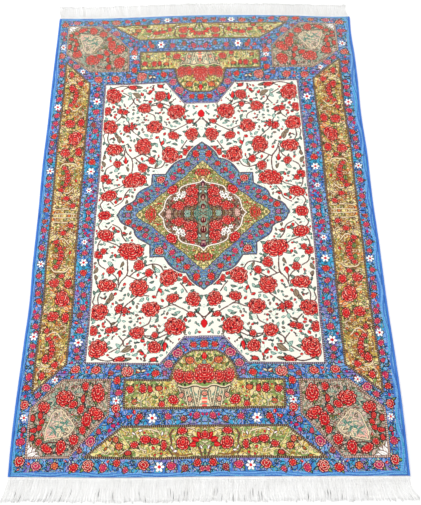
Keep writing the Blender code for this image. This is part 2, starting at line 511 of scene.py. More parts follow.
GRAIN = np.random.default_rng(5).random(chart.knots.shape) - 0.5
RAGGED = 0.16  # how much the grain of single knots shifts the edge of a patch
GROUNDS = {
    # name: its base yarn, its patches (yarn, size in knots, seed, height of the cloud from which it shows),
    # and its vines (yarn, size of a curl, seed, width, level)
    "blue": ("blue",
             [("cyan", 20, 11, 0.62), ("violet", 26, 12, 0.70), ("sky", 15, 13, 0.68)],
             [("lilac", 18, 16, 1.6, 2.2), ("sage", 19, 17, 1.8, -2.8), ("deep_teal", 17, 18, 2.0, 3.8),
              ("navy", 20, 15, 1.8, 0.0)]),
    "amber": ("gold",
              [("pale_gold", 16, 21, 0.56), ("leaf_green", 14, 22, 0.70), ("deep_gold", 12, 23, 0.66),
               ("orange", 12, 24, 0.72)],
              [("cream", 17, 26, 2.2, 2.0), ("dark_olive", 17, 28, 2.0, -3.0), ("brown", 17, 25, 2.0, 0.0)]),
    "gold": ("gold",
             [("pale_gold", 16, 61, 0.46), ("leaf_green", 14, 62, 0.64), ("deep_gold", 12, 63, 0.76)],
             [("cream", 17, 66, 2.4, 1.8), ("leaf_green", 16, 68, 2.2, -2.2), ("brown", 20, 65, 1.5, 0.0)]),
    "taupe": ("taupe",
              [("grey_rose", 13, 33, 0.66), ("olive", 16, 31, 0.66), ("sage", 15, 34, 0.70),
               ("brown", 12, 32, 0.70)],
              [("cream", 16, 39, 1.7, -2.6), ("sage", 15, 36, 2.0, 2.4), ("grey_rose", 14, 40, 1.8, 1.2),
               ("dark_taupe", 17, 35, 1.4, -0.6)]),
    "ivory": ("ivory", [], [("mint", 34, 41, 2.0, 4.4)]),
}


def ground(mask, name):
    """Lays a ground: its base, patches of other yarns, ragged by single knots, and the vines over them."""
    base, patches, curls = GROUNDS[name]
    chart.dye(mask, base, bare=True)
    for yarn, size, seed, above in patches:
        chart.dye(mask & (cloud(size, seed) + RAGGED * GRAIN > above), yarn, bare=True)
    for row in curls:
        vines(mask, *row)


print("Clouds, vines and grounds can be drawn")

# %% [markdown]
# ## Motifs
#
# The old masters of this kind of rug fill it with a handful of motifs at many sizes. Each is a short
# formula. A rose is a set of scalloped rings, each smaller than the last and pushed a little to one side,
# which gives the half-turned look of a garden rose. A leaf is the half wave of a sine on each side of its
# rib. A dark line round every motif is what makes it stand out from a ground that is nearly as busy.


# %% Lines and leaves
LINE = 1.6  # how wide the dark line round a motif is, in knots


def stroke(points, width, yarn, edge=None, taper=0.0):
    """A drawn line: every knot within half its width of its path, with a narrow edge of another yarn."""
    path = smooth_path(points)
    middle = (path.min(0) + path.max(0)) / 2
    patch, u, v = chart.near(*middle, (path.max(0) - path.min(0)).max() / 2 + width + 3)
    thin = 1 - taper * np.arange(len(path)) / len(path)
    right = u.ravel()[:, None] - (path[:, 0] - middle[0])
    down = v.ravel()[:, None] - (path[:, 1] - middle[1])
    away = (np.hypot(right, down) / thin).min(1).reshape(u.shape)
    if edge:
        chart.dye(away < width / 2 + 1.0, edge, patch)
    chart.dye(away < width / 2, yarn, patch)


def leaf(x, y, length, width, turn, body="sage", line="deep_teal", rib=None, bow=0.0):
    """A pointed leaf from its stalk at x, y: its half-width is a sine of the way along. Its rib may bow."""
    patch, u, v = chart.near(x, y, length * 1.15 + 2, turn)
    run = np.clip(u / length, 0, 1)
    half = width / 2 * np.sin(np.pi * run**0.8)
    off = np.abs(v - bow * length * np.sin(np.pi * run))
    there = (u > 0) & (u < length)
    chart.dye(there & (off < half + 0.3), line, patch)
    chart.dye(there & (off < half - LINE), body, patch)
    if rib:
        chart.dye(there & (off < 0.6) & (run < 0.8), rib, patch)


def bud(x, y, length, width, turn, body="red", tip="scarlet", sepal="deep_teal"):
    """A rosebud: the root of a sine makes a drop that narrows to its tip, over two sepals."""
    for side in (-32, 32):
        leaf(x, y, length * 0.75, width * 0.5, turn + side, sepal, sepal)
    patch, u, v = chart.near(x, y, length * 1.2, turn)
    run = np.clip(u / length, 0, 1)
    half = width / 2 * np.sqrt(np.clip(np.sin(np.pi * run**0.75), 0, 1))
    there = (u > 0) & (u < length)
    chart.dye(there & (np.abs(v) < half + 0.3), "maroon", patch)
    chart.dye(there & (np.abs(v) < half - 1), body, patch)
    chart.dye(there & (np.abs(v - half * 0.35) < 0.8) & (run > 0.3) & (run < 0.85), tip, patch)


def leaves(places, length, width, *yarns):
    """Leaves of one size and one set of yarns, from rows of x, y and turn."""
    for x, y, turn in places:
        leaf(x, y, length, width, turn, *yarns)


def from_place(x, y, away, turn):
    """The place a distance away from x, y in a direction given in degrees."""
    return x + away * math.cos(math.radians(turn)), y + away * math.sin(math.radians(turn))


print("Strokes, leaves and buds can be drawn")


# %% Roses and stars
def rose(x, y, rx, ry, turn=0.0, lean=0.35, petals=7, body="red", lip="scarlet", line="maroon"):
    """A rose seen a little from the side. Rings of petals lie in each other, each smaller and pushed further
    along the lean. A petal reaches out by the sine of a power of the way round it, so that it rises fast and
    falls slowly, and every second ring runs the other way round. Each petal has a dark line, a pale lip and
    its body."""
    patch, u, v = chart.near(x, y, max(rx, ry) * 1.3 + 3, turn)
    size, odd = min(rx, ry), 0.37 * x + 0.61 * y
    rings = int(np.clip(round(size / 5.2), 2, 5))
    bold = np.clip(0.1 * size, 0.8, 1.9)
    for ring in range(rings):
        share = ring / rings
        scale = 1 - 0.95 * share
        p, q = u / rx, v / ry + lean * share
        angle, radius = np.arctan2(q, p), np.hypot(p, q)
        count = max(3, petals - 2 * ring)
        way = 1 if (ring + int(odd)) % 2 else -1
        skew = 0.22 * np.sin(2 * angle + odd)
        round_petal = (way * count * angle / (2 * np.pi) + skew + 0.37 * ring + odd) % 1
        petal = np.sin(np.pi * round_petal**0.6)
        wobble = 0.05 * np.sin(2 * angle + odd + ring) + 0.04 * np.sin(3 * angle + 2 * odd - ring)
        depth = (scale * (0.80 + 0.22 * np.sqrt(petal) + wobble) - radius) * size
        chart.dye(depth > (-1.7 if ring == 0 else -0.5 * bold), line, patch)
        chart.dye(depth > 0.5, lip, patch)
        chart.dye(depth > 0.5 + bold, body, patch)
        if scale * size > 6:
            chart.dye((depth > 0.4) & (depth < 5.5) & (round_petal < 0.13), line, patch)
            chart.dye((depth > 2.6) & (depth < 5.5) & (np.abs(round_petal - 0.55) < 0.07), line, patch)
            chart.dye((depth > 0.4) & (depth < 2.2) & (np.abs(round_petal - 0.3) < 0.12), "pink", patch)


def star_flower(x, y, size, turn=0.0, petal="white", eye="red", edge="navy"):
    """A white flower of six separate petals: its reach is a power of a rectified cosine."""
    patch, u, v = chart.near(x, y, size * 1.3 + 2, turn)
    lobe = np.abs(np.cos(3 * np.arctan2(v, u)))
    radius, reach = np.hypot(u, v), size * lobe**0.55
    chart.dye(radius < reach + 1.1, edge, patch)
    chart.dye((radius < reach) & (lobe > 0.25), petal, patch)
    chart.dye(radius < size * 0.3, eye, patch)


def scroll(x, y, size, turn, body="cream", edge="brown", hand=1):
    """A scroll that winds in on itself: a spiral whose radius shrinks as it turns."""
    t = np.linspace(0, 1, 14)
    angle = math.radians(turn) + hand * 4.4 * t
    points = np.stack([x + size * (1 - 0.8 * t) * np.cos(angle), y + size * (1 - 0.8 * t) * np.sin(angle)], 1)
    stroke(points, max(1.8, size * 0.2), body, edge, taper=0.6)


def sprinkle(mask, pitch, seed, draw, clear):
    """Fills a ground: over a jittered grid, draws a small motif wherever only bare ground is around."""
    dice = np.random.default_rng(seed)
    free = mask & ~chart.taken
    rows, columns = chart.knots.shape
    for row in range(int(rows / pitch) + 1):
        for column in range(int(columns / pitch) + 1):
            x = (column + 0.5 + 0.7 * (dice.random() - 0.5) + 0.5 * (row % 2)) * pitch
            y = (row + 0.5 + 0.7 * (dice.random() - 0.5)) * pitch
            kind, turn, size = dice.random(), dice.random() * 360, 0.8 + 0.5 * dice.random()
            j, i, r = int(x), int(y), int(clear * size)
            if r <= j < columns - r and r <= i < rows - r and free[i - r:i + r + 1, j - r:j + r + 1].all():
                draw(x, y, size, turn, kind)


def one_of(back, *kinds):
    """A filling motif that chance picks from rows. A row holds the chance below which it is taken, how it is
    drawn, its length, its width and its yarns. The motif starts a distance back, so that its middle is at
    its place."""

    def draw(x, y, size, turn, kind):
        start = from_place(x, y, -back * size, turn)
        shape, length, width, *yarns = next(row for below, *row in kinds if kind < below)
        shape(*start, length * size, width * size, turn, *yarns)

    return draw


print("Roses, stars, scrolls and fillings can be drawn")

# %% [markdown]
# ## Layout
#
# The rug is laid out as a garden: an ivory field round a lobed medallion, a gold border broken into panels
# by blue bands, and a taupe plot in each corner. Each part is a figure in the chart, given by the corners of
# its quarter. A figure that crosses the rug's middle goes on to -9, so that no outline is drawn there. The
# medallion's figures have lobes instead of straight sides. The outermost stripe is plain blue, with
# streaks of uneven dye along the edge.

# %% Panels and their grounds
MARGIN_ACROSS, MARGIN_ALONG = 479, 740  # where the outermost stripe begins

field = Outline([(-9, -9), (319, -9), (319, 467), (117, 467), (54, 390), (-9, 390)])
dome = Outline([(-9, 430), (30, 430), (56, 444), (78, 470), (89, 506), (89, 514), (-9, 514)])
basket_panel = Outline([(-9, 512), (211, 512), (211, 586), (-9, 586)])
end_panel = Outline([(-9, 631), (213, 631), (303, 706), (-9, 706)])
side_panel = Outline([(368, -9), (451, -9), (451, 546), (368, 470)])
corner = Outline([(373, 512), (250, 512), (250, 600), (345, 706), (451, 706), (451, 588)])
PANELS = (field, dome, basket_panel, end_panel, side_panel, corner)
medallion = lobed(
    [(-9, 250), (0, 246), (10, 238), (24, 229), (41, 212), (51, 193)],
    [(51, 193), (66, 191), (82, 183), (97, 169), (108, 152), (114, 142)],
    [(114, 142), (154, 142)],
    [(154, 142), (155, 105)],
    [(155, 105), (172, 94), (190, 83), (200, 69), (203, 54)],
    [(203, 54), (214, 44), (231, 36), (244, 24), (250, 10), (258, -4)],
)
lozenge = lobed(
    [(-9, 196), (0, 189), (16, 175), (33, 158), (54, 136), (75, 118), (95, 101)],
    [(95, 101), (114, 80), (135, 63), (153, 42), (178, 25), (197, 8), (206, -9)],
)
cartouche = lobed(
    [(-9, 136), (0, 126), (9, 114), (24, 109), (46, 104), (64, 96), (71, 86), (72, 76)],
    [(72, 76), (88, 70), (102, 61), (112, 44), (117, 20)],
    [(117, 20), (124, 8), (135, -4)],
)

ground(chart.whole, "blue")
ground(field.inside, "ivory")
ground(side_panel.inside, "amber")
ground(dome.inside | basket_panel.inside | end_panel.inside, "gold")
ground(corner.inside, "taupe")
ground(medallion.inside, "blue")
ground(lozenge.inside, "gold")
ground(cartouche.inside, "taupe")

margin = (chart.x > MARGIN_ACROSS) | (chart.y > MARGIN_ALONG)
lane, along = np.where(chart.y > MARGIN_ALONG, (chart.y, chart.x), (chart.x, chart.y))
streak = np.sin(1.1 * lane + 2.5 * np.sin(along / 23) + 1.7 * np.sin(along / 61)) + GRAIN + cloud(60, 51)
chart.dye(margin, "blue")
chart.dye(margin & (streak > 0.35), "sky")
chart.dye(margin & (streak > 1.5), "cyan")
print("Eight grounds are laid")

# %% [markdown]
# ## The rose field
#
# Roses, buds, leaves and thin stems cover the ivory ground without a fixed repeat. The large ones are placed
# one by one, with their stems under them. What is left of the ground is then sprinkled with small twigs.

# %% The rose field
FIELD_ROSES = [
    # x, y, half width, half height, turn, lean
    (291, 0, 18, 18, 20, 0.3), (284, 71, 25, 18, -10, 0.4), (209, 123, 35, 28, -8, 0.35),
    (185, 167, 15, 16, 30, 0.4), (264, 182, 12, 12, 40, 0.3), (156, 191, 11, 12, -30, 0.4),
    (100, 206, 27, 24, 15, 0.15), (275, 229, 26, 19, 5, 0.45), (183, 237, 27, 25, 20, 0.35),
    (31, 275, 21, 22, -15, 0.35), (89, 270, 17, 14, 30, 0.5), (148, 303, 24, 24, -20, 0.25),
    (293, 309, 25, 25, 15, 0.2), (81, 358, 28, 27, 25, 0.3), (183, 374, 20, 19, -15, 0.45),
    (306, 367, 14, 15, 10, 0.4), (288, 423, 28, 26, 35, 0.35), (134, 418, 18, 18, 10, 0.15),
    (134, 382, 9, 9, 0, 0.3), (228, 454, 15, 8, 20, 0.5), (136, 454, 8, 6, 0, 0.3),
    (236, 301, 12, 14, 20, 0.4), (220, 306, 8, 10, -20, 0.4), (303, 134, 12, 14, 60, 0.4),
    (288, 122, 9, 9, 0, 0.3), (261, 365, 11, 9, 10, 0.3), (245, 361, 8, 9, 30, 0.3),
    (37, 322, 11, 8, 0, 0.3), (53, 214, 9, 10, 20, 0.4), (40, 226, 7, 7, 0, 0.3),
]
FIELD_STEMS = [
    [(218, 150), (216, 175), (219, 198), (235, 218), (242, 236)], [(219, 198), (201, 206), (183, 214)],
    [(284, 88), (266, 96), (248, 104), (238, 116)], [(298, 88), (304, 104), (304, 122)],
    [(308, 262), (312, 280), (302, 292)], [(271, 330), (257, 346), (257, 362)],
    [(257, 352), (235, 330), (222, 296), (201, 276), (186, 262)],
    [(156, 262), (174, 258), (184, 250)], [(132, 306), (112, 300), (94, 292), (80, 292)],
    [(105, 362), (119, 376), (143, 384), (167, 382)], [(95, 376), (119, 388), (141, 394), (161, 386)],
    [(0, 340), (9, 326), (23, 306)], [(27, 306), (18, 318), (2, 330)],
    [(147, 330), (153, 346), (171, 356)], [(201, 384), (217, 394), (218, 412), (198, 414)],
    [(233, 384), (221, 402), (234, 420), (256, 434)], [(256, 448), (234, 458), (216, 460)],
    [(294, 452), (264, 460), (242, 456)], [(116, 226), (128, 240), (134, 262)],
    [(91, 286), (74, 296), (56, 306), (41, 316)], [(55, 330), (61, 344), (69, 350)],
    [(193, 184), (201, 192), (209, 200)], [(163, 200), (173, 206), (185, 212)],
    [(259, 194), (249, 204), (241, 220)], [(237, 192), (241, 206), (242, 226)],
    [(299, 20), (307, 40), (298, 56)], [(269, 40), (278, 52), (282, 60)],
    [(265, 34), (249, 44), (240, 56), (236, 74), (224, 92)], [(67, 224), (58, 236), (48, 252)],
    [(135, 400), (133, 392), (135, 384)], [(103, 420), (107, 404), (103, 390)],
    [(302, 148), (297, 166), (281, 178)], [(290, 246), (298, 264), (296, 286)],
    [(167, 170), (147, 164), (127, 168), (115, 186)],
]
FIELD_BUDS = [
    # x, y, length, width, turn
    (237, 182, 22, 10, 85), (104, 404, 28, 11, 80), (0, 338, 26, 20, 90), (162, 440, 16, 9, -40),
    (128, 238, 18, 9, 120), (261, 42, 14, 8, 80), (244, 62, 14, 8, -30), (146, 262, 14, 8, 150),
    (65, 206, 16, 9, -70), (217, 320, 10, 6, 0), (283, 378, 12, 7, 60), (69, 394, 10, 6, 120),
    (310, 60, 10, 6, -60), (202, 296, 10, 6, 40), (254, 130, 12, 7, 100), (226, 66, 12, 7, -10),
    (190, 420, 16, 8, 60), (173, 396, 14, 8, 160), (51, 344, 12, 7, -80), (17, 390, 10, 6, 0),
    (313, 166, 12, 7, 90), (291, 346, 12, 7, 80), (114, 282, 12, 7, -60), (246, 250, 12, 7, 60),
]
LEAF_YARNS = {
    # kind: yarns of its body and its line
    "brown": ("taupe", "dark_brown"), "olive": ("taupe", "dark_olive"),
    "mint": ("mint", "teal"), "sage": ("sage", "deep_teal"), "green": ("leaf_green", "dark_olive"),
}
RIBBED_GREEN = ("leaf_green", "dark_olive", "dark_olive")
FIELD_LEAVES = {
    # kind: x, y, length, width, turn
    "brown": [(258, 250, 34, 15, 70), (309, 196, 20, 10, 100), (220, 66, 20, 9, 15), (266, 268, 22, 12, 60)],
    "olive": [(147, 166, 22, 10, 110), (303, 172, 26, 11, 60), (198, 412, 36, 16, 35), (229, 154, 22, 9, 65),
              (168, 424, 16, 8, 30), (59, 366, 18, 9, 110), (47, 382, 14, 8, 30), (194, 452, 22, 9, -10),
              (93, 396, 12, 6, -20), (232, 40, 16, 8, 100), (246, 340, 16, 7, 20)],
    "mint": [(125, 190, 22, 12, -50), (178, 436, 18, 8, 20), (116, 246, 18, 9, 70), (168, 268, 18, 10, 40),
             (235, 326, 20, 10, 80), (207, 352, 18, 8, 100), (21, 366, 18, 8, 70), (66, 312, 18, 8, 10),
             (257, 398, 16, 8, 60), (240, 406, 22, 9, 120), (228, 426, 16, 9, 30), (304, 452, 20, 12, -160),
             (94, 442, 14, 7, -60), (303, 332, 16, 8, 60), (62, 240, 16, 9, 80), (138, 232, 20, 9, 50),
             (183, 144, 20, 9, -60), (273, 154, 22, 12, 120), (310, 88, 14, 7, 60), (216, 92, 16, 8, -60),
             (309, 26, 16, 8, 60), (9, 262, 16, 7, 90), (313, 396, 14, 7, 100)],
    "sage": [(250, 56, 18, 8, -30), (260, 132, 16, 8, 50), (197, 338, 12, 7, 10), (153, 398, 20, 11, 100),
             (73, 322, 20, 8, -10), (111, 396, 18, 9, 60), (76, 236, 20, 8, 15), (141, 216, 16, 7, 20),
             (312, 244, 16, 8, 100), (273, 26, 14, 7, 20), (218, 256, 10, 7, 30), (127, 330, 18, 9, 60),
             (14, 300, 20, 8, 60), (160, 440, 16, 7, -60), (200, 276, 16, 8, 100), (242, 286, 12, 7, -60),
             (305, 214, 12, 7, 90), (167, 150, 16, 8, 80), (242, 96, 18, 8, 120), (27, 246, 14, 7, 10)],
}


def rose_with_leaves(x, y, rx, ry, turn, lean, angles=(35, 150, 215), kind="sage", petals=9, body="red"):
    """A rose over a few leaves that stand out from behind it."""
    green, line = LEAF_YARNS[kind]
    for angle in angles:
        c, s = math.cos(math.radians(turn + angle)), math.sin(math.radians(turn + angle))
        place = x + 0.72 * rx * c, y + 0.72 * ry * s
        leaf(*place, 7 + rx * 0.5, 4 + rx * 0.22, turn + angle, green, line, line)
    rose(x, y, rx, ry, turn, lean, petals, body)


def twig(x, y, size, turn, kind):
    """A twig between the roses: a bent stem with a leaf on each side and a bud or a leaf at its tip."""
    foot, knee = from_place(x, y, -6 * size, turn), from_place(x, y, 1.5, turn - 90)
    tip = from_place(x, y, 4 * size, turn + 12)
    stroke([foot, knee, tip], 1.5, "brown", "dark_brown" if kind < 0.5 else None)
    yarns = LEAF_YARNS[("sage", "mint", "brown", "sage", "olive")[int(kind * 5)]]
    leaf(*knee, 8 * size, 4.4 * size, turn + 62, *yarns)
    leaf(*foot, 7 * size, 4.2 * size, turn - 55, *yarns)
    if kind % 0.2 < 0.11:
        bud(*tip, 8 * size, 5.5 * size, turn)
    else:
        leaf(*tip, 8 * size, 4.2 * size, turn + 10, *yarns)


field_sprig = one_of(
    4, (0.18, bud, 9, 6), (0.25, leaf, 11, 5.6, "sage", "deep_teal"), (0.5, leaf, 11, 5.6, "mint", "teal"),
    (0.75, leaf, 11, 5.6, "taupe", "dark_brown"), (1, leaf, 11, 5.6, "sage", "deep_teal"),
)

chart.within = field.within(5) & ~medallion.inside & (medallion.away > 4)
for points in FIELD_STEMS:
    stroke(points, 1.5, "brown", "dark_brown")
for kind, rows in FIELD_LEAVES.items():
    for row in rows:
        leaf(*row, *LEAF_YARNS[kind], LEAF_YARNS[kind][1], 0.1)
for row in FIELD_BUDS:
    bud(*row)
for row in FIELD_ROSES:
    rose_with_leaves(*row, petals=5 + round(0.12 * row[2]))
sprinkle(chart.within, 17, 61, twig, 7.5)
sprinkle(chart.within, 12, 62, field_sprig, 5.0)
chart.within = chart.whole
print(len(FIELD_ROSES), "roses in a quarter of the field")

# %% [markdown]
# ## The blue bands
#
# The guard borders and the bands between the panels share one blue ground, clouded with cyan and violet as
# uneven dye lots are. Small roses sit on it at rather even steps, with white stars among them, and leaves
# between.

# %% The blue bands
GUARD_ROOM = 3.4  # how far the work on a ground stays from its outline, where a guard stripe will lie
BAND_ROSES = {
    # yarn: x, y, size
    "red": [
        (464, 275, 9), (467, 532, 9), (468, 577, 12), (343, 190, 10), (342, 484, 12), (288, 486, 12),
        (205, 489, 16), (129, 493, 10), (29, 413, 9), (0, 412, 11), (231, 514, 10), (231, 586, 12),
        (170, 608, 9), (466, 714, 13), (330, 730, 11), (294, 726, 15), (222, 718, 9), (156, 722, 13),
        (20, 718, 10),
    ],
    "magenta": [
        (468, 52, 9), (468, 135, 7), (468, 222, 7), (465, 322, 9), (464, 502, 10), (345, 38, 9),
        (71, 436, 14), (21, 605, 9), (424, 726, 12), (256, 730, 10), (86, 724, 11), (469, 110, 9),
        (470, 196, 8), (469, 250, 8), (464, 352, 9), (464, 413, 9), (464, 440, 9), (462, 462, 6),
        (468, 668, 11), (339, 12, 8), (342, 128, 8), (345, 226, 8), (339, 256, 8), (339, 296, 9),
        (341, 366, 10), (344, 428, 8), (340, 450, 7), (230, 478, 7), (94, 467, 12), (225, 546, 9),
        (177, 619, 6), (95, 607, 9), (415, 532, 12), (435, 552, 8), (291, 668, 13), (272, 644, 6),
        (200, 734, 7), (7, 732, 7),
    ],
    "plum": [(469, 20, 7), (345, 318, 8), (249, 494, 7), (55, 613, 7), (52, 730, 8), (318, 690, 7)],
    "orange": [(378, 726, 9), (176, 488, 5)],
    "violet": [(464, 640, 6), (461, 372, 6), (104, 492, 6), (227, 602, 6), (390, 508, 5), (244, 616, 7)],
}
BAND_STARS = [
    # x, y, size, turn
    (467, 160, 11, 10), (465, 384, 12, 0), (344, 158, 12, 0), (342, 404, 13, 10), (231, 566, 10, 20),
    (137, 611, 13, 0), (116, 726, 13, 0), (466, 610, 10, 10), (394, 512, 9, 40), (345, 92, 9, 0),
]


def band_rose(x, y, size, body):
    """A small dark rose of the blue bands over three leaves."""
    for angle, green in ((20, "leaf_green"), (140, "sage"), (250, "mint")):
        turn = angle + 3 * y
        leaf(*from_place(x, y, 0.6 * size, turn), 4 + 0.8 * size, 3 + 0.35 * size, turn, green)
    lip = "pink" if size > 11 else "scarlet"
    rose(x, y, size, size * 0.9, 3 * y, 0.2, 6, body, lip, "plum" if body == "magenta" else "maroon")


band_sprig = one_of(
    3.5, (0.22, bud, 9, 7, "magenta", "magenta"), (0.36, bud, 9, 7, "red", "pink"), (0.6, leaf, 9, 5),
    (0.75, leaf, 8, 4.4, "ivory", "slate"), (1, leaf, 9, 5, "cyan", "navy"),
)

panels = np.any([shape.inside for shape in PANELS], axis=0)
chart.within = ~panels & (chart.x < MARGIN_ACROSS + 3) & (chart.y < MARGIN_ALONG + 4)
for yarn, rows in BAND_ROSES.items():
    for x, y, size in rows:
        band_rose(x, y, size, yarn)
for row in BAND_STARS:
    star_flower(*row)
leaves([(168, 489, -25), (168, 489, 205)], 18, 8, "cream", "dark_brown")  # a pale pair in each cross band

bands = ~panels & ~margin
for shape in PANELS:
    bands &= shape.away > GUARD_ROOM
chart.within = bands
sprinkle(bands, 11.5, 81, band_sprig, 4.6)
chart.within = chart.whole
print(sum(len(rows) for rows in BAND_ROSES.values()), "roses in a quarter of the bands")

# %% [markdown]
# ## The gold panels
#
# The gold ground carries heavier work: swags of small roses on the long sides, a basket heaped with roses in
# the middle of each inner panel, and a crown of petals in the middle of each end panel. Scrolls, leaves and
# buds fill the rest.

# %% The gold side panels
gold_growth = one_of(
    4, (0.62, leaf, 10, 5.4, "leaf_green", "olive"), (0.8, leaf, 10, 5, "pale_gold", "brown"),
    (0.9, bud, 8, 6, "orange", "pale_gold", "dark_olive"), (1, bud, 8, 6, "red", "scarlet", "dark_olive"),
)


def gold_sprig(x, y, size, turn, kind):
    """The filling motif of the gold panels: a scroll of either hand, or else a leaf or a bud."""
    if kind < 0.36:
        scroll(x, y, 6.5 * size, turn, "pale_gold" if kind < 0.18 else "cream", hand=1 if kind < 0.27 else -1)
    else:
        gold_growth(x, y, size, turn, kind)


def fill_gold(mask, seed):
    """Two rounds of filling: the wide gaps first, and then the narrow ones."""
    sprinkle(mask, 13, seed, gold_sprig, 5.6)
    sprinkle(mask, 10, seed + 1, gold_sprig, 4.2)


SIDE_ROSES = [
    # x, y, half width, half height
    (399, 268, 20, 25), (425, 218, 14, 14), (385, 222, 10, 14), (420, 322, 16, 15), (385, 326, 10, 16),
    (410, 62, 9, 9), (389, 36, 8, 9), (428, 92, 8, 8), (426, 452, 9, 12), (398, 470, 9, 9), (430, 500, 8, 10),
    (405, 198, 8, 7), (431, 366, 7, 8),
]
SWAG_MIDDLES = (136, 426)
SWAG_REACH = 34
WREATH = (411, 33, 52)  # how far out the ring round a swag has its middle, its half width and its half length

chart.within = side_panel.within(GUARD_ROOM)
for y in (-5, 5, 22):
    stroke([(380, y), (410, y + 2), (442, y)], 3.2, "cream", "brown")
for middle in SWAG_MIDDLES:
    u, v = (chart.x - WREATH[0]) / WREATH[1], (chart.y - middle) / WREATH[2]
    wreath = np.hypot(u, v) + 0.06 * np.sin(5 * np.arctan2(v, u))
    chart.dye((wreath < 1) & (cloud(5, 63) > 0.7), "deep_gold", bare=True)
    chart.dye(np.abs(wreath - 1) < 0.055, "brown")
    chart.dye(np.abs(wreath - 1) < 0.03, "gold")
    chart.dye((np.abs(wreath - 1) < 0.035) & (np.abs(v) > 0.7), "cream")
    for share in np.linspace(-1, 1, 7):
        rose(410 + 13 * share**2, middle + SWAG_REACH * share, 8, 7, 40 * share, 0.2, 6)
    for side in (-1, 1):
        leaf(426, middle + 8 * side, 20, 11, 90 * side, *RIBBED_GREEN)
        scroll(386, middle + 66 * side, 11, 40 * side, hand=side)
        scroll(434, middle + 62 * side, 10, 150 + 40 * side, hand=-side)
for x, y, rx, ry in SIDE_ROSES:
    rose_with_leaves(x, y, rx, ry, 0, 0.25, (30 + y, 150 + y, 270 + y), "green", 7)
fill_gold(chart.within, 91)
chart.within = chart.whole
print(len(SIDE_ROSES), "roses and", len(SWAG_MIDDLES), "swags in a side panel's quarter")

# %% The basket of roses
DOME_FOOT = 512  # where the dome stands on the basket's panel
BASKET_TOP, BASKET_RIM, BASKET_FOOT = 521, 531, 583
BASKET_PROFILE = [(BASKET_TOP, 72), (BASKET_RIM, 70), (546, 67), (563, 56), (578, 46), (BASKET_FOOT, 38)]
BASKET_RIBS = [(10, 18), (32, 20), (44, 32), (52, 42), (68, 46)]  # how far out: at the rim, at the foot
PANEL_ROSES = [
    # x, y, half width, half height, yarn
    (196, 537, 11, 9, "red"), (162, 535, 9, 12, "red"), (143, 536, 6, 9, "red"), (81, 564, 14, 12, "red"),
    (112, 576, 8, 8, "red"), (119, 533, 9, 6, "orange"), (38, 458, 12, 9, "orange"),
    (184, 569, 7, 7, "orange"),
]
STALK_TIPS = ((149, 559, "leaf_green"), (176, 560, "white"), (188, 572, "leaf_green"), (160, 552, "cream"))
BASKET_ROSES = [(64, 501, 17, 20, 10), (40, 503, 14, 18, -10), (0, 494, 28, 27, 0)]


def basket():
    """A shallow basket: its sides draw in towards the foot, with a wavy pale rim and slanting ribs."""
    half = np.interp(chart.y, *zip(*BASKET_PROFILE))
    body = (chart.y > BASKET_TOP) & (chart.y < BASKET_FOOT) & (chart.x < half)
    chart.dye(body, "dark_brown")
    inner = body & (chart.x < half - 1.4) & (chart.y < BASKET_FOOT - 1.5)
    chart.dye(inner, "sage")
    wave = BASKET_RIM + 3 * np.cos(chart.x / 8)
    wall = inner & (chart.y > wave)
    down = (chart.y - BASKET_RIM) / (BASKET_FOOT - BASKET_RIM)
    chart.dye(wall & (cloud(6, 34) > 0.5), "taupe")
    chart.dye(wall & (cloud(5, 33) > 0.55), "cream")
    for top, foot in BASKET_RIBS:
        rib = np.abs(chart.x - top - (foot - top) * down)
        chart.dye(wall & (rib < 3.0), "dark_olive")
        chart.dye(wall & (rib < 1.5), "cream")
    chart.dye(wall & (chart.x < 6) & (chart.y % 9 < 5), "scarlet")
    chart.dye(inner & (chart.y < wave), "dark_olive")
    chart.dye(inner & (chart.y < wave) & (cloud(5, 56) > 0.45), "leaf_green")
    chart.dye(inner & (chart.y < wave) & (chart.y > wave - 5), "cream")
    chart.dye(body & (np.abs(chart.y - wave) < 1.5), "dark_brown")
    for x, y in ((0, 546), (38, 562), (60, 552)):
        rose(x, y, 6, 7, 0, 0.2, 5, "scarlet", "cream", "dark_brown")


seam = (np.abs(chart.y - DOME_FOOT) < 6) & (chart.x < 84)
gold_edge = np.where(chart.y < DOME_FOOT, dome.away, basket_panel.away)
chart.within = (dome.inside | basket_panel.inside) & ((gold_edge > GUARD_ROOM) | seam)
basket()
for row in BASKET_ROSES:
    rose(*row, 0.4, 11)
stroke([(20, 470), (30, 456), (42, 448), (54, 452)], 1.8, "orange", "brown")
leaves([(16, 462, -70), (46, 470, -110), (58, 476, -60), (10, 458, -100)], 15, 8, *RIBBED_GREEN)
for x, y, rx, ry, body in PANEL_ROSES:
    rose_with_leaves(x, y, rx, ry, 0, 0.25, (-60, -120), "green", 8, body=body)
for x, y, yarn in STALK_TIPS:
    stroke([(166, 584), (167, 572), (x, y)], 2.6, yarn, "dark_olive", 0.5)
leaf(122, 560, 16, 8, -20, *RIBBED_GREEN)
bud(0, 456, 20, 14, -90, "red", "scarlet", "dark_olive")
leaf(0, 470, 14, 12, -90, "sage", "deep_teal")
fill_gold(chart.within, 93)
chart.within = chart.whole
print("A basket with", len(BASKET_ROSES), "heaps of roses")

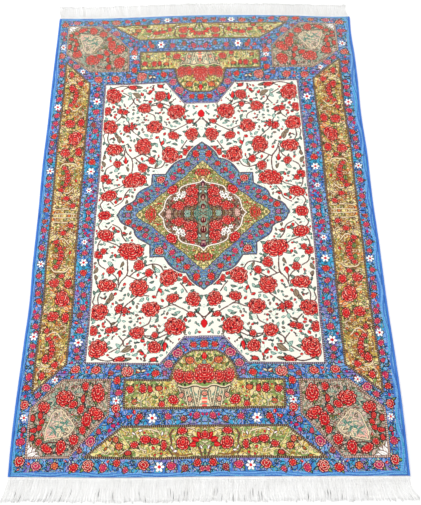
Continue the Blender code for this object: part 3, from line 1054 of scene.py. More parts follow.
# %% The end panel
CROWN_ROSES = [
    # x, y, half width, half height
    (57, 672, 17, 15), (59, 643, 13, 8), (153, 662, 13, 10), (130, 666, 11, 8), (181, 674, 10, 8),
    (106, 676, 8, 11), (219, 678, 9, 8), (228, 662, 7, 7), (196, 694, 8, 5),
]
END_STROKES = [
    # points, width, yarn
    ([(8, 702), (14, 686), (20, 676), (16, 664)], 3.0, "brown"),
    ([(82, 640), (90, 652), (86, 670), (92, 686), (84, 698)], 3.2, "brown"),
    ([(34, 698), (60, 700), (84, 694)], 2.4, "deep_gold"),
    ([(120, 644), (144, 638), (170, 640), (188, 652)], 3.6, "cream"),
    ([(128, 688), (148, 696), (176, 690), (200, 670), (216, 648)], 3.0, "pale_gold"),
    ([(150, 688), (176, 682), (196, 684), (216, 698)], 2.8, "cream"),
    ([(226, 648), (236, 664), (250, 684), (262, 698)], 3.0, "cream"),
    ([(26, 642), (40, 636), (52, 640)], 2.6, "cream"),
]

chart.within = end_panel.within(GUARD_ROOM)
for points, width, yarn in END_STROKES:
    stroke(points, width, yarn, "dark_brown" if yarn == "brown" else "brown", 0.3)
for x, y, rx, ry in CROWN_ROSES:
    body = "red" if x < 200 else "orange"
    rose_with_leaves(x, y, rx, ry, 0, 0.25, (40, 140), "green", 7, body=body)
leaves([(0, 666, -90), (6, 664, -52), (14, 668, -20), (20, 674, 10)], 24, 15, "red", "maroon", "scarlet")
rose(0, 654, 11, 9, 0, 0.3, 7)
leaves([(189, 644, 150), (172, 642, 190), (108, 643, 70), (70, 690, 0), (82, 688, -60), (6, 688, -60)],
       14, 7, "white", "brown")
leaves([(16, 682, -60), (0, 700, -90)], 15, 8, *RIBBED_GREEN)
leaves([(246, 668, -130), (256, 690, -130), (272, 700, 170)], 15, 8, "orange", "dark_olive", "dark_olive")
fill_gold(chart.within, 95)
chart.within = chart.whole
print(len(CROWN_ROSES), "roses beside the crown")

# %% [markdown]
# ## The corner plots
#
# Each corner is a taupe hexagon with large roses, a pale shield that holds leafy sprigs, and a white leaf
# ornament in the outermost corner.

# %% The corner plots
CORNER_ROSES = [
    # x, y, half width, half height, turn
    (364, 560, 24, 20, 0), (341, 576, 12, 9, 20), (312, 529, 9, 11, 0), (279, 547, 17, 24, 0),
    (282, 599, 22, 14, -30), (305, 617, 13, 20, 0), (313, 641, 9, 10, 0), (416, 585, 15, 17, 0),
    (334, 665, 12, 14, 0), (366, 683, 13, 17, 0), (402, 686, 15, 10, -30), (440, 660, 6, 7, 0),
    (423, 670, 8, 8, 0), (320, 588, 8, 12, -20), (316, 561, 5, 10, 0), (424, 606, 6, 9, 0),
    (419, 622, 6, 8, 0), (425, 636, 8, 6, 0), (438, 642, 8, 6, 0), (443, 612, 6, 8, 0),
]


SHIELD_OUTLINE = [
    (408, 665), (407, 644), (400, 622), (392, 600), (378, 592), (364, 594), (356, 606), (336, 630),
    (343, 648), (358, 657), (388, 662), (408, 666),
]
SHIELD_SPRIGS = [
    (356, 618, 100), (360, 624, -10), (370, 632, 110), (374, 636, -20), (384, 642, 100), (386, 640, -30),
]
corner_sprig = one_of(
    4, (0.3, leaf, 8, 4.6, "leaf_green", "dark_olive"), (0.5, leaf, 8, 4.4, "cream", "dark_taupe"),
    (0.72, leaf, 8, 4.4, "grey_rose", "brown"), (0.8, bud, 8, 5.5, "red", "pink", "dark_olive"),
    (1, leaf, 8, 4.6),
)

clear_corner = corner.within(GUARD_ROOM)
chart.within = clear_corner
stroke([(262, 622), (284, 612), (300, 596), (314, 566), (312, 540)], 1.4, "brown", "dark_brown")
stroke([(330, 690), (350, 676), (380, 672), (404, 672)], 1.4, "brown", "dark_brown")
shield = Outline([tuple(place) for place in smooth_path(SHIELD_OUTLINE, 8.0)])
chart.dye(shield.inside, "grey_rose")
chart.dye(shield.inside & (cloud(5, 36) > 0.5), "cream")
chart.dye(shield.inside & (cloud(5, 38) > 0.7), "sage")
chart.dye(shield.inside & (chart.y + 0.8 * chart.x > 958) & (cloud(5, 37) > 0.5), "pink")
chart.within = shield.inside
vines(shield.inside, "taupe", 13, 43, 1.6, 0.5)
stroke([(350, 612), (364, 630), (384, 640), (396, 654)], 1.4, "teal", "sage")
leaves(SHIELD_SPRIGS, 13, 5, "sage", "teal")
leaves([(378, 610, -60), (386, 610, -110), (348, 642, -20), (352, 650, 0)], 13, 5, "cream", "dark_taupe")
chart.within = clear_corner
chart.dye(shield.away < 2.2, "dark_taupe")
chart.dye(shield.away < 1.4, "cream")
stroke([(364, 594), (366, 606), (358, 616)], 2.4, "cream", "brown")
for x, y, rx, ry, turn in CORNER_ROSES:
    angles = (30 + x - turn, 160 + x - turn, 260 + x - turn)
    rose_with_leaves(x, y, rx, ry, turn, 0.3, angles, "green" if x % 2 else "sage")
chart.within = corner.inside
for turn, length in ((-92, 40), (182, 38), (-135, 32), (-113, 30), (-157, 30)):
    leaf(449, 704, length, 13, turn, "white", "brown", "grey_rose")
chart.within = clear_corner & ~shield.inside
sprinkle(chart.within, 12, 97, corner_sprig, 4.6)
chart.within = chart.whole
print(len(CORNER_ROSES), "roses in a corner")

# %% [markdown]
# ## Guard stripes
#
# Between two grounds runs a narrow stripe with dark beads on it, which is what keeps the panels crisp from a
# distance. The beads are counted along the outline, so that they stay even round every corner.

# %% Guard stripes
BEAD_PITCH = 5.0


def guard(shape, where=True, base="taupe", bead="dark_brown", width=5.0):
    """A beaded stripe along a figure: a bead fills a little more than half of each pitch."""
    stripe = (shape.away < width / 2) & where
    chart.dye(stripe, base)
    chart.dye(stripe & (shape.run % BEAD_PITCH < 0.55 * BEAD_PITCH), bead)
    chart.dye((np.abs(shape.away - width / 2) < 0.5) & where, "dark_taupe")


guard(field, base="lilac", bead="dark_brown", width=4.4)
guard(side_panel)
guard(corner, base="grey_rose", bead="brown")
guard(end_panel)
guard(basket_panel, (chart.y > 505) & ~(dome.inside & (chart.y < 516) & (chart.x < 86)))
guard(dome, chart.y < 510)
guard(medallion, base="slate", bead="navy", width=3.4)
print("Guard stripes lie between the grounds")

# %% [markdown]
# ## The medallion
#
# The medallion is three figures in each other: a blue lobed one with small roses, a gold lozenge with larger
# ones, and a dark cartouche with a white outline, dense with roses round a central stem.

# %% The medallion
MEDALLION_ROSES = {
    # yarn: x, y, size
    "red": [(221, 26, 10), (187, 50, 9), (128, 124, 13), (72, 155, 8), (48, 176, 9), (21, 208, 11)],
    "magenta": [(170, 74, 8), (137, 88, 8), (91, 130, 9), (204, 40, 6)],
    "violet": [(223, 2, 7), (167, 56, 6), (112, 112, 6), (62, 150, 6), (10, 228, 5)],
}
LOZENGE_ROSES = [(155, 5, 17, 16, 0), (0, 147, 25, 14, 0)]
SHOULDER_ROSE = (92, 85, 19, 13, 138)
CARTOUCHE_ROSES = [
    # x, y, half width, half height, turn
    (54, 58, 9, 9, 0), (53, 33, 10, 9, 0), (24, 60, 8, 8, 0), (30, 100, 8, 6, 0), (86, 26, 8, 8, 0),
    (34, 79, 17, 18, 90), (37, 43, 19, 17, 20), (70, 27, 15, 16, -20),
]

chart.within = medallion.within(2.4) & ~lozenge.inside
for yarn, rows in MEDALLION_ROSES.items():
    for x, y, size in rows:
        band_rose(x, y, size, yarn)
vines(chart.within & ~chart.taken, "slate", 12, 76, 1.8, 0.8)
vines(chart.within & ~chart.taken, "sage", 14, 77, 1.9, -2.4)
sprinkle(chart.within, 11, 71, band_sprig, 4.4)

chart.within = chart.whole
chart.dye(lozenge.inside & (lozenge.away < 1.6), "dark_olive")
chart.within = lozenge.within(1.6) & ~cartouche.inside
for x, y, rx, ry, turn in LOZENGE_ROSES:
    for tip in (turn, turn + 180):
        leaf(*from_place(x, y, 0.8 * rx, tip), 17, 8, tip + 20, *RIBBED_GREEN)
        leaf(*from_place(x, y, 0.8 * rx, tip), 15, 7, tip - 30, "pale_gold", "dark_olive")
    rose(x, y, rx, ry, turn, 0.25, 7)
for turn in (45, 225):
    leaf(*from_place(93, 84, 15, turn + 90), 14, 8, turn + 80, "leaf_green", "dark_olive")
vines(chart.within, "olive", 14, 75, 2.2, 1.2)
fill_gold(chart.within, 73)
chart.within = chart.whole
print("The blue and the gold figure are drawn")

# %% The cartouche
CARTOUCHE_STARS = [(58, 73, 8), (69, 62, 11), (82, 52, 8), (74, 72, 7), (60, 62, 7)]  # x, y, size
cartouche_sprig = one_of(
    0, (0.2, leaf, 8, 4.4, "sage", "dark_brown"), (0.4, leaf, 8, 4.4, "grey_rose", "dark_brown"),
    (0.7, bud, 8, 5, "red", "pink", "dark_brown"), (1, leaf, 7, 4, "cream", "brown"),
)

chart.dye(cartouche.inside, "dark_taupe", bare=True)
chart.dye(cartouche.inside & (cloud(11, 57) + 0.3 * GRAIN > 0.46), "brown", bare=True)
chart.dye(cartouche.inside & (cloud(8, 60) + 0.3 * GRAIN > 0.62), "olive", bare=True)
vines(cartouche.inside, "maroon", 12, 58, 1.9, 0.0)
vines(cartouche.inside, "taupe", 12, 59, 2.0, 2.4)
chart.within = cartouche.within(1.0)
stem_edge = 14 + 13 * np.exp(-((chart.y - 4) / 20) ** 2)
stem = chart.x < stem_edge
chart.dye(stem, "dark_taupe")
chart.dye(stem & (cloud(4, 35) > 0.50), "taupe")
chart.dye(stem & (cloud(4, 34) > 0.62), "sage")
chart.dye(stem & (chart.y < 26) & (cloud(4, 42) > 0.62), "teal")
chart.dye(np.abs(chart.x - stem_edge) < 0.9, "dark_brown")
for y, length, body in ((28, 20, "maroon"), (62, 24, "maroon"), (108, 24, "plum")):
    bud(0, y + length / 2 - 4, length, 14, -90, body, "pink", "dark_taupe")
leaf(15, 12, 18, 9, -70, "sage", "deep_teal", "deep_teal")
leaf(6, 84, 14, 8, -60, "mint", "teal")
for x, y, rx, ry, turn in CARTOUCHE_ROSES:
    rose(x, y, rx, ry, turn, 0.25, 7)
for x, y, size in CARTOUCHE_STARS:
    star_flower(x, y, size, 2 * x, "white", "dark_taupe", "taupe")
rose(46, 5, 9, 8, 0, 0.2, 6, "sage", "mint", "deep_teal")
rose(102, 6, 8, 10, 0, 0.2, 6, "grey_rose", "pink", "brown")
for x, y, turn in ((98, 52, 0), (108, 34, -40), (112, 16, -60), (52, 96, 20), (24, 104, 40)):
    scroll(x, y, 6, turn, "ivory", "brown")
chart.within = chart.whole
chart.dye(cartouche.away < 3.0, "brown")
chart.dye(cartouche.away < 1.6, "ivory")
x, y, rx, ry, turn = SHOULDER_ROSE
rose(x, y, rx, ry, turn, 0.2, 7)
chart.within = cartouche.within(2.4)
sprinkle(chart.within, 8, 74, cartouche_sprig, 3.0)
chart.within = chart.whole
print("The cartouche is drawn")

# %% [markdown]
# ## From a quarter to the whole rug
#
# A handmade rug is never quite true. The weaver's beat changes from one end to the other, so the mirrored
# panels come out a little longer or shorter; the middle line drifts to one side, the borders take up what is
# left of the width, and one half lies a little ahead of the other. The quarter is therefore read through
# curves for each end and each side, with a slight waver on top, instead of being flipped exactly.

# %% The whole chart
ACROSS = 984
ALONG = 2 * QUARTER_ALONG
# where a line of the drawing came out in the weaving, in knots from the middle
NEAR_END = {
    "drawn": [0, 60, 242, 467, 512, 588, 629, 705, 750],
    "woven": [12, 66, 248.6, 464, 508, 584, 625, 704, 750],
}
FAR_END = {
    "drawn": [0, 122, 188, 242, 390, 467, 512, 588, 629, 705, 750],
    "woven": [-12, 104, 171.5, 234, 388, 471, 526, 600, 650, 716, 750],
}
MIDDLE_LINE = {"along": [-750, 0, 150, 300, 450, 560, 700], "across": [-9, -9, -10, -13, -14.5, -16, -18]}
# the same across, at four stations along the rug: a row for each drawn line between the first and the last
STATIONS = [-750, 0, 440, 500]
DRAWN_LINES = [0, 211, 319, 368, 451, 478, 485]
WOVEN_LINES = {
    "left": [
        [211, 211, 207, 198], [319, 319, 310, 310], [368, 368, 361, 361], [451, 451, 444, 444],
        [477, 477, 470, 468],
    ],
    "right": [
        [209, 209, 205, 197], [323, 320, 318, 318], [374, 373, 370, 370], [464, 460, 461, 461],
        [486, 487, 491, 493],
    ],
}
HALF_AHEAD = 6.0  # how far the right half lies ahead of the middle, and the left half behind it

along = np.arange(ALONG)[:, None] + 0.5 - QUARTER_ALONG
across = np.arange(ACROSS)[None, :] + 0.5 - ACROSS / 2
ahead = HALF_AHEAD * np.clip(across / 280, -1, 1) * np.interp(along, [-464, -350, 500, 750], [0, 1, 1, 0.4])
level = along - ahead
near_drawn = np.interp(-level, NEAR_END["woven"], NEAR_END["drawn"])
far_drawn = np.interp(level, FAR_END["woven"], FAR_END["drawn"])
drawn_y = np.where(-level > NEAR_END["woven"][0], near_drawn, far_drawn)
drawn_y = drawn_y + 0.9 * np.sin(across / 71) + 0.7 * np.sin(along / 39 + across / 57)


def drawn_across(side):
    """How far out a knot of one side is drawn: each stretch between two lines adds its drawn width times the
    share of it that the knot is past."""
    middle = np.interp(along, MIDDLE_LINE["along"], MIDDLE_LINE["across"])
    hand = 1 if side == "right" else -1
    away, edge = hand * (across - middle), ACROSS / 2 - hand * middle
    woven = [0 * along, *[np.interp(along, STATIONS, row) for row in WOVEN_LINES[side]], edge]
    drawn = 0
    for inner, outer, low, high in zip(DRAWN_LINES, DRAWN_LINES[1:], woven, woven[1:]):
        drawn = drawn + (outer - inner) * np.clip((away - low) / (high - low), 0, 1)
    return drawn


drawn_x = drawn_across("left") + drawn_across("right")
drawn_x = drawn_x + 0.9 * np.sin(along / 61) + 0.7 * np.sin(across / 47 + along / 83)


def mirrored(place, size):
    """Which row or column of a quarter a place falls on: mirrored at the middle, and again past the edge."""
    place = np.abs(place)
    place = np.where(place > size, 2 * size - place, place)
    return np.clip(place.astype(int), 0, size - 1)


rug_knots = chart.knots[mirrored(drawn_y, QUARTER_ALONG), mirrored(drawn_x, QUARTER_ACROSS)]
print("The whole rug has", rug_knots.size, "knots in", len(np.unique(rug_knots)), "yarns")

# %% [markdown]
# ## The knotted cloth
#
# The cloth is a closed sheet about 6 mm thick: the pile's surface on top, the knots' backs below, and a
# rounded edge between them. A face for each knot would be far too many. Instead a face covers a block of 6
# by 6 knots and carries their yarns as numbers: the lower four bits of six knots make one six-digit
# hexadecimal number for each row, which a 32-bit float holds exactly, and the fifth bits of two rows share
# another. The finish reads them back.

# %% Blocks of knots
BLOCK = 6
BLOCKS_ACROSS = ACROSS // BLOCK
BLOCKS_ALONG = ALONG // BLOCK
blocks = rug_knots.reshape(BLOCKS_ALONG, BLOCK, BLOCKS_ACROSS, BLOCK).transpose(0, 2, 1, 3).astype(np.int64)
row_codes = ((blocks & 15) * 16 ** np.arange(BLOCK)).sum(-1)
fifth_bits = ((blocks >> 4) * 2 ** np.arange(BLOCK)).sum(-1)
pair_codes = fifth_bits[..., 0::2] + 64 * fifth_bits[..., 1::2]
print("Largest row code", row_codes.max(), "and the largest that is exact is", 2**24)


# %% Meshes from arrays
def make_piece(name, points, polygons, finish):
    """One object at the origin from an array of points and arrays of polygons, one for each side count."""
    mesh = bpy.data.meshes.new(name)
    corners = np.concatenate([polygon.ravel() for polygon in polygons]).astype(np.int32)
    sides = np.concatenate([np.full(len(polygon), polygon.shape[1]) for polygon in polygons])
    mesh.vertices.add(len(points))
    mesh.vertices.foreach_set("co", np.asarray(points, np.float32).ravel())
    mesh.loops.add(len(corners))
    mesh.loops.foreach_set("vertex_index", corners)
    mesh.polygons.add(len(sides))
    mesh.polygons.foreach_set("loop_start", (np.cumsum(sides) - sides).astype(np.int32))
    mesh.update(calc_edges=True)
    mesh.shade_smooth()
    mesh.materials.append(finish.material)
    piece = bpy.data.objects.new(name, mesh)
    bpy.context.scene.collection.objects.link(piece)
    return piece


def add_uv(piece, name, places):
    """A UV map from an array of one place for each corner."""
    layer = piece.data.uv_layers.new(name=name, do_init=False)
    layer.uv.foreach_set("vector", np.asarray(places, np.float32).ravel())


def add_values(piece, name, values, domain="FACE"):
    """An attribute of one vector for each face or point."""
    layer = piece.data.attributes.new(name, "FLOAT_VECTOR", domain)
    layer.data.foreach_set("vector", np.asarray(values, np.float32).ravel())


print("Pieces can be made from arrays")

# %% The cloth's surface
EDGE_ROUND = 0.7 * MM
PILE_WAVE = 0.25 * MM
# for each ring of the edge: how far it stands out, as a share of the rounding, and its share of the thickness
EDGE_RINGS = ((0.75, 0.86), (1.0, 0.5), (0.75, 0.14))


def cloth_point(a, b, height):
    """A place on the flat cloth, from -1 to 1 each way, as points of the rug at a height."""
    x, y = swollen(a * HALF_WIDTH, b * HALF_LENGTH)
    return np.stack([x, y, height + 0 * x], -1)


flat_a, flat_b = np.meshgrid(
    np.linspace(-1, 1, BLOCKS_ACROSS + 1) * (1 - EDGE_ROUND / HALF_WIDTH),
    np.linspace(-1, 1, BLOCKS_ALONG + 1) * (1 - EDGE_ROUND / HALF_LENGTH),
)
wave = np.sin(7 * flat_a + 2 * flat_b) * np.sin(9 * flat_b - 3 * flat_a)
wave = wave + 0.5 * np.sin(23 * flat_b + 11 * flat_a)
top = cloth_point(flat_a, flat_b, THICKNESS - PILE_WAVE * (1 + wave / 1.5) / 2)
bottom = cloth_point(flat_a, flat_b, 0.0)

grid_numbers = np.arange(flat_a.size).reshape(flat_a.shape)
rim_rows = np.concatenate([
    np.zeros(BLOCKS_ACROSS, int), np.arange(BLOCKS_ALONG),
    np.full(BLOCKS_ACROSS, BLOCKS_ALONG), np.arange(BLOCKS_ALONG, 0, -1),
])
rim_columns = np.concatenate([
    np.arange(BLOCKS_ACROSS), np.full(BLOCKS_ALONG, BLOCKS_ACROSS),
    np.arange(BLOCKS_ACROSS, 0, -1), np.zeros(BLOCKS_ALONG, int),
])
out_a = (rim_columns == BLOCKS_ACROSS) * 1.0 - (rim_columns == 0)
out_b = (rim_rows == BLOCKS_ALONG) * 1.0 - (rim_rows == 0)
rings = []
for stands, lift in EDGE_RINGS:
    ring_a = flat_a[rim_rows, rim_columns] + out_a * stands * EDGE_ROUND / HALF_WIDTH
    ring_b = flat_b[rim_rows, rim_columns] + out_b * stands * EDGE_ROUND / HALF_LENGTH
    rings.append(cloth_point(ring_a, ring_b, lift * THICKNESS))
cloth_points = np.concatenate([top.reshape(-1, 3), bottom.reshape(-1, 3), *rings])
print(len(cloth_points), "points in the cloth")

# %% The cloth's faces
i, j = np.meshgrid(np.arange(BLOCKS_ALONG), np.arange(BLOCKS_ACROSS), indexing="ij")
i, j = i.ravel(), j.ravel()
quad = np.array([[0, 0], [0, 1], [1, 1], [1, 0]])  # row and column steps round a face, seen from above
top_faces = grid_numbers[i[:, None] + quad[:, 0], j[:, None] + quad[:, 1]]
bottom_faces = top_faces[:, ::-1] + grid_numbers.size

rim_count = len(rim_rows)
levels = [grid_numbers[rim_rows, rim_columns]]
levels += [2 * grid_numbers.size + rim_count * ring + np.arange(rim_count) for ring in range(len(rings))]
levels += [grid_numbers[rim_rows, rim_columns] + grid_numbers.size]
edge_faces = []
for upper, lower in zip(levels, levels[1:]):
    edge_faces.append(np.stack([upper, lower, np.roll(lower, -1), np.roll(upper, -1)], 1))
edge_faces = np.concatenate(edge_faces)

# the block that an edge face belongs to, and the corner of that block that each end of it touches
next_rows, next_columns = np.roll(rim_rows, -1), np.roll(rim_columns, -1)
edge_i = np.minimum(np.minimum(rim_rows, next_rows), BLOCKS_ALONG - 1)
edge_j = np.minimum(np.minimum(rim_columns, next_columns), BLOCKS_ACROSS - 1)
start_cell = np.stack([rim_columns - edge_j, rim_rows - edge_i], 1)
end_cell = np.stack([next_columns - edge_j, next_rows - edge_i], 1)
edge_cells = np.stack([start_cell, start_cell, end_cell, end_cell], 1)
band_count = len(levels) - 1

face_i = np.concatenate([i, i, np.tile(edge_i, band_count)])
face_j = np.concatenate([j, j, np.tile(edge_j, band_count)])
cells = np.concatenate([
    np.tile(quad[:, ::-1], (len(i), 1, 1)), np.tile(quad[::-1, ::-1], (len(i), 1, 1)),
    np.tile(edge_cells, (band_count, 1, 1)),
])
print(len(face_i), "faces in the cloth")

# %% Where the cloth's finish is kept
TOP_ISLAND = (0.005, 0.65)  # where the top starts in the second UV map, and how wide it is
BACK_ISLAND = (0.67, 0.32)
ISLAND_FOOT, ISLAND_HEIGHT = 0.005, 0.99
EDGE_STEP = 0.0015  # how far each ring of the edge lies out from an island


def bake_places():
    """A second UV map: the top and its upper edge side by side with the back and its lower edge."""
    share_j, share_i = np.meshgrid(np.linspace(0, 1, BLOCKS_ACROSS + 1), np.linspace(0, 1, BLOCKS_ALONG + 1))
    places = []
    for start, width in (TOP_ISLAND, BACK_ISLAND):
        flat = np.stack([start + width * share_j, ISLAND_FOOT + ISLAND_HEIGHT * share_i], -1)
        faces = flat.reshape(-1, 2)[top_faces]
        places.append(faces if start < 0.5 else faces[:, ::-1])
    half_bands = band_count // 2
    for band in range(band_count):
        start, width = TOP_ISLAND if band < half_bands else BACK_ISLAND
        inner_u = start + width * rim_columns / BLOCKS_ACROSS
        inner = np.stack([inner_u, ISLAND_FOOT + ISLAND_HEIGHT * rim_rows / BLOCKS_ALONG], -1)
        away = np.stack([out_a, out_b], -1) * EDGE_STEP
        above, below = (band, band + 1) if band < half_bands else (band_count - band, band_count - band - 1)
        upper, lower = inner + above * away, inner + below * away
        places.append(np.stack([upper, lower, np.roll(lower, -1, 0), np.roll(upper, -1, 0)], 1))
    return np.concatenate(places)


print("Top and back lie side by side for a bake")

# %% [markdown]
# ## The pile's finish
#
# The finish reads a knot's yarn from its block. The place within the face, from 0 to 6 each way, picks the
# row's number and the digit in it: the number is divided by a power of sixteen and cut down to one digit,
# and the fifth bit comes the same way with powers of two. The yarn's number then picks a stop of a ramp with
# 32 steps. On top of that come the things that make it wool and silk: each knot a little lighter or darker
# than its neighbours, broad stripes of uneven dye across the rug, and the domed tuft of each knot as relief.
# Towards the far end the pile is seen against its lean and shines paler; that sheen is painted, as a pale
# tone mixed into the colour there.

# %% The pile's finish
pile = Finish("knotted_pile")
cell = pile.node("UVMap", {"uv_map": "cell"}, {})
column_place, row_place, _ = pile.parts(cell)
column = pile.math("FLOOR", column_place)
row = pile.math("FLOOR", row_place)
rows_low = pile.parts(pile.attribute("rows_low"))
rows_high = pile.parts(pile.attribute("rows_high"))
row_pairs = pile.parts(pile.attribute("row_pairs"))


def pick(values, index):
    """The value whose number the index gives: each step that it is past adds the step to the next value."""
    chosen = values[0]
    for number, (before, after) in enumerate(zip(values, values[1:])):
        chosen = chosen + (index > number + 0.5) * (after - before)
    return chosen


def shrink(index, base, steps):
    """One over a power of the base: a product of exact factors, one for each step that the index is past."""
    factor = 1.0
    for number in range(steps):
        factor = (1 - (index > number + 0.5) * (1 - 1 / base)) * factor
    return factor


def digit(number, base):
    """The last digit of a whole number in a base."""
    return number - pile.math("FLOOR", number / base) * base


row_code = pick(rows_low + rows_high, row)
low_bits = digit(pile.math("FLOOR", row_code * shrink(column, 16.0, BLOCK - 1)), 16.0)
pair = pile.math("FLOOR", row / 2)
odd_row = row - pair * 2
pair_code = pick(row_pairs, pair)
row_bits = pile.math("FLOOR", pair_code * (1 - odd_row * (1 - 1 / 64)))
fifth_bit = digit(pile.math("FLOOR", row_bits * shrink(column, 2.0, BLOCK - 1)), 2.0)
yarn = low_bits + fifth_bit * 16
stops = [(number / len(YARNS), linear(*color)) for number, color in enumerate(YARNS.values())]
dyed = pile.node("ValToRGB", {"stops": stops}, {0: (yarn + 0.5) / len(YARNS)})
dyed.socket.node.color_ramp.interpolation = "CONSTANT"
print("The finish reads 36 knots from each face")

# %% Tufts, dye lots and the painted sheen of the pile's lean
TUFT_HEIGHT = 0.5 * MM
# painted sheen: a pale tone mixed into the pile's colour towards the far end
PAINTED_SHEEN_TONE = (190, 200, 172)
PAINTED_SHEEN_FROM = 0.45  # metres from the middle
PAINTED_SHEEN_A_METRE = 0.6
PAINTED_SHEEN_MOST = 0.12

block_column, block_row, _ = pile.parts(pile.attribute("block"))
knot_column, knot_row = block_column * BLOCK + column, block_row * BLOCK + row
knot_place = pile.node("CombineXYZ", {}, {0: knot_column, 1: knot_row, 2: 0.5})
chance = pile.node("TexWhiteNoise", {}, {"Vector": knot_place}, 0)
metres = pile.place()
lot_stretch = pile.node("Mapping", {}, {"Vector": metres, "Scale": (0.6, 9.0, 1.0)})
dye_lot = pile.noise(lot_stretch, 3.0, 3.0, 0.6)
shade = pile.noise(metres, 14.0, 3.0)

brightness = 0.90 + chance * 0.16 + (dye_lot - 0.5) * 0.22 + (shade - 0.5) * 0.12
grey = pile.grey(brightness)
_, metres_along, _ = pile.parts(metres)
# painted sheen: how much pale tone goes into the colour, growing towards the far end
painted_sheen = pile.math("MAXIMUM", (metres_along - PAINTED_SHEEN_FROM) * PAINTED_SHEEN_A_METRE, 0.0)
painted_sheen = pile.math("MINIMUM", painted_sheen, PAINTED_SHEEN_MOST)
pile_color = pile.mix("MULTIPLY", pile.mix("MIX", dyed, (*linear(*PAINTED_SHEEN_TONE), 1.0), painted_sheen), grey)

across_knot = column_place - column - 0.5
along_knot = row_place - row - 0.5
domed = 1 - (across_knot * across_knot + along_knot * along_knot) * 2.2
tuft = domed * 0.6 + chance * 0.5 + shade * 0.4
relief = pile.relief(tuft, 0.55, TUFT_HEIGHT)
pile.set_surface(
    Base_Color=pile_color,
    Roughness=0.72 + chance * 0.18,
    Specular_IOR_Level=0.25,
    Sheen_Weight=0.05,
    Sheen_Roughness=0.45,
    Normal=relief,
)
print("Tufts stand", TUFT_HEIGHT / MM, "mm high in relief")

# %% The knotted cloth
cloth_faces = np.concatenate([top_faces, bottom_faces, edge_faces])
cloth = make_piece("knotted_pile_cloth", cloth_points, [cloth_faces], pile)
add_uv(cloth, "cell", np.clip(cells * BLOCK, 0.001, BLOCK - 0.001))
add_uv(cloth, "OFBake", bake_places())
add_values(cloth, "rows_low", row_codes[face_i, face_j, :3])
add_values(cloth, "rows_high", row_codes[face_i, face_j, 3:])
add_values(cloth, "row_pairs", pair_codes[face_i, face_j])
add_values(cloth, "block", np.stack([face_j, face_i, 0 * face_i], 1))
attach(cloth, "root")
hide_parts("knotted_rug")
print(cloth.name, "has", 2 * len(cloth.data.polygons), "triangles")

# %% [markdown]
# ## The corded edges
#
# Along each side the last warps are bundled into a cord and wrapped over and over with blue yarn. The
# wrapping is what one sees: close turns, each a little round and slightly slanted. A closed tube does it,
# whose radius dips between two turns. The turns lean because the phase of the dip moves on with the angle
# round the cord.

# %% The corded edges
TURN_PITCH = 1.6 * MM
RINGS_A_TURN = 3
CORD_SIDES = 10
TURN_DEPTH = 0.11  # the share of the radius that is lost between two turns
TURN_SLANT = 0.8  # how many turns the phase moves on round the cord
UNEVEN_ROOM = 0.03  # the share of the radius that is left free for uneven turns
CORD_LANES = 24  # lanes that the cord's surface is cut into for a bake
CORD_SQUARENESS = 0.8  # below 1, the section is flatter than an ellipse at its top, foot and sides


def wrapped_cord(side):
    """A closed tube along one side. Its section is a superellipse, and its radius is less by the squared
    cosine of the turn's phase, so that each turn of yarn stands out round."""
    turns = int(2 * HALF_LENGTH / TURN_PITCH)
    y = np.linspace(-HALF_LENGTH, HALF_LENGTH, turns * RINGS_A_TURN + 1)[:, None]
    angle = np.linspace(0, 2 * np.pi, CORD_SIDES, endpoint=False)[None, :]
    phase = (y / TURN_PITCH + TURN_SLANT * angle / (2 * np.pi)) * np.pi
    uneven = 0.02 * np.sin(y * 310 + 2 * np.sin(y * 47)) + 0.015 * np.sin(y * 97)
    radius = 1 - TURN_DEPTH * np.cos(phase) ** 2 - UNEVEN_ROOM + uneven
    c, s = np.cos(angle), np.sin(angle)
    x_share = np.sign(c) * np.abs(c) ** CORD_SQUARENESS * radius
    z_share = np.sign(s) * np.abs(s) ** CORD_SQUARENESS * radius
    hand = 1 if side == "right" else -1
    x, y = swollen(hand * (HALF_RUG - CORD_WIDTH / 2) + CORD_WIDTH / 2 * x_share, y + 0 * x_share)
    z = CORD_THICKNESS / 2 * (1 + z_share)
    return np.stack([x, y, z], -1)


def tube_faces(rings, sides):
    """The quads round a tube, and the ring and side of each corner, counted on past the last side."""
    ring, side = np.meshgrid(np.arange(rings - 1), np.arange(sides), indexing="ij")
    ring, side = ring.reshape(-1, 1), side.reshape(-1, 1)
    corner_rings = ring + np.array([0, 0, 1, 1])
    corner_sides = side + np.array([0, 1, 1, 0])
    return corner_rings * sides + corner_sides % sides, corner_rings, corner_sides


def tube_caps(rings, sides):
    """The two end faces of a tube."""
    return np.stack([np.arange(sides), (rings - 1) * sides + np.arange(sides)[::-1]])


def cord_bake_places(corner_rings, corner_sides, rings):
    """The tube cut into lanes that lie above each other, because it is far longer than it is wide."""
    first = corner_rings.min(1, keepdims=True)
    lane = first * CORD_LANES // rings
    a_lane = rings / CORD_LANES
    u = (corner_rings - lane * a_lane) / (a_lane + 1)
    v = (lane + 0.05 + 0.9 * corner_sides / CORD_SIDES) / CORD_LANES
    return np.stack([0.01 + 0.98 * u, v], -1)


cord_finish = Finish("selvedge_yarn")
cord_place = cord_finish.place()
fibre = cord_finish.noise(cord_place, 900.0, 3.0)
cord_lot = cord_finish.noise(cord_place, 16.0, 2.0)
cord_tone = fibre * 0.5 + cord_lot * 0.5
cord_color = cord_finish.ramp(cord_tone, (0.25, (44, 92, 178)), (0.5, (66, 124, 210)), (0.8, (108, 166, 232)))
cord_relief = cord_finish.relief(fibre, 0.4, 0.3 * MM)
cord_finish.set_surface(
    Base_Color=cord_color, Roughness=0.75 + fibre * 0.15, Specular_IOR_Level=0.2, Sheen_Weight=0.15,
    Normal=cord_relief,
)

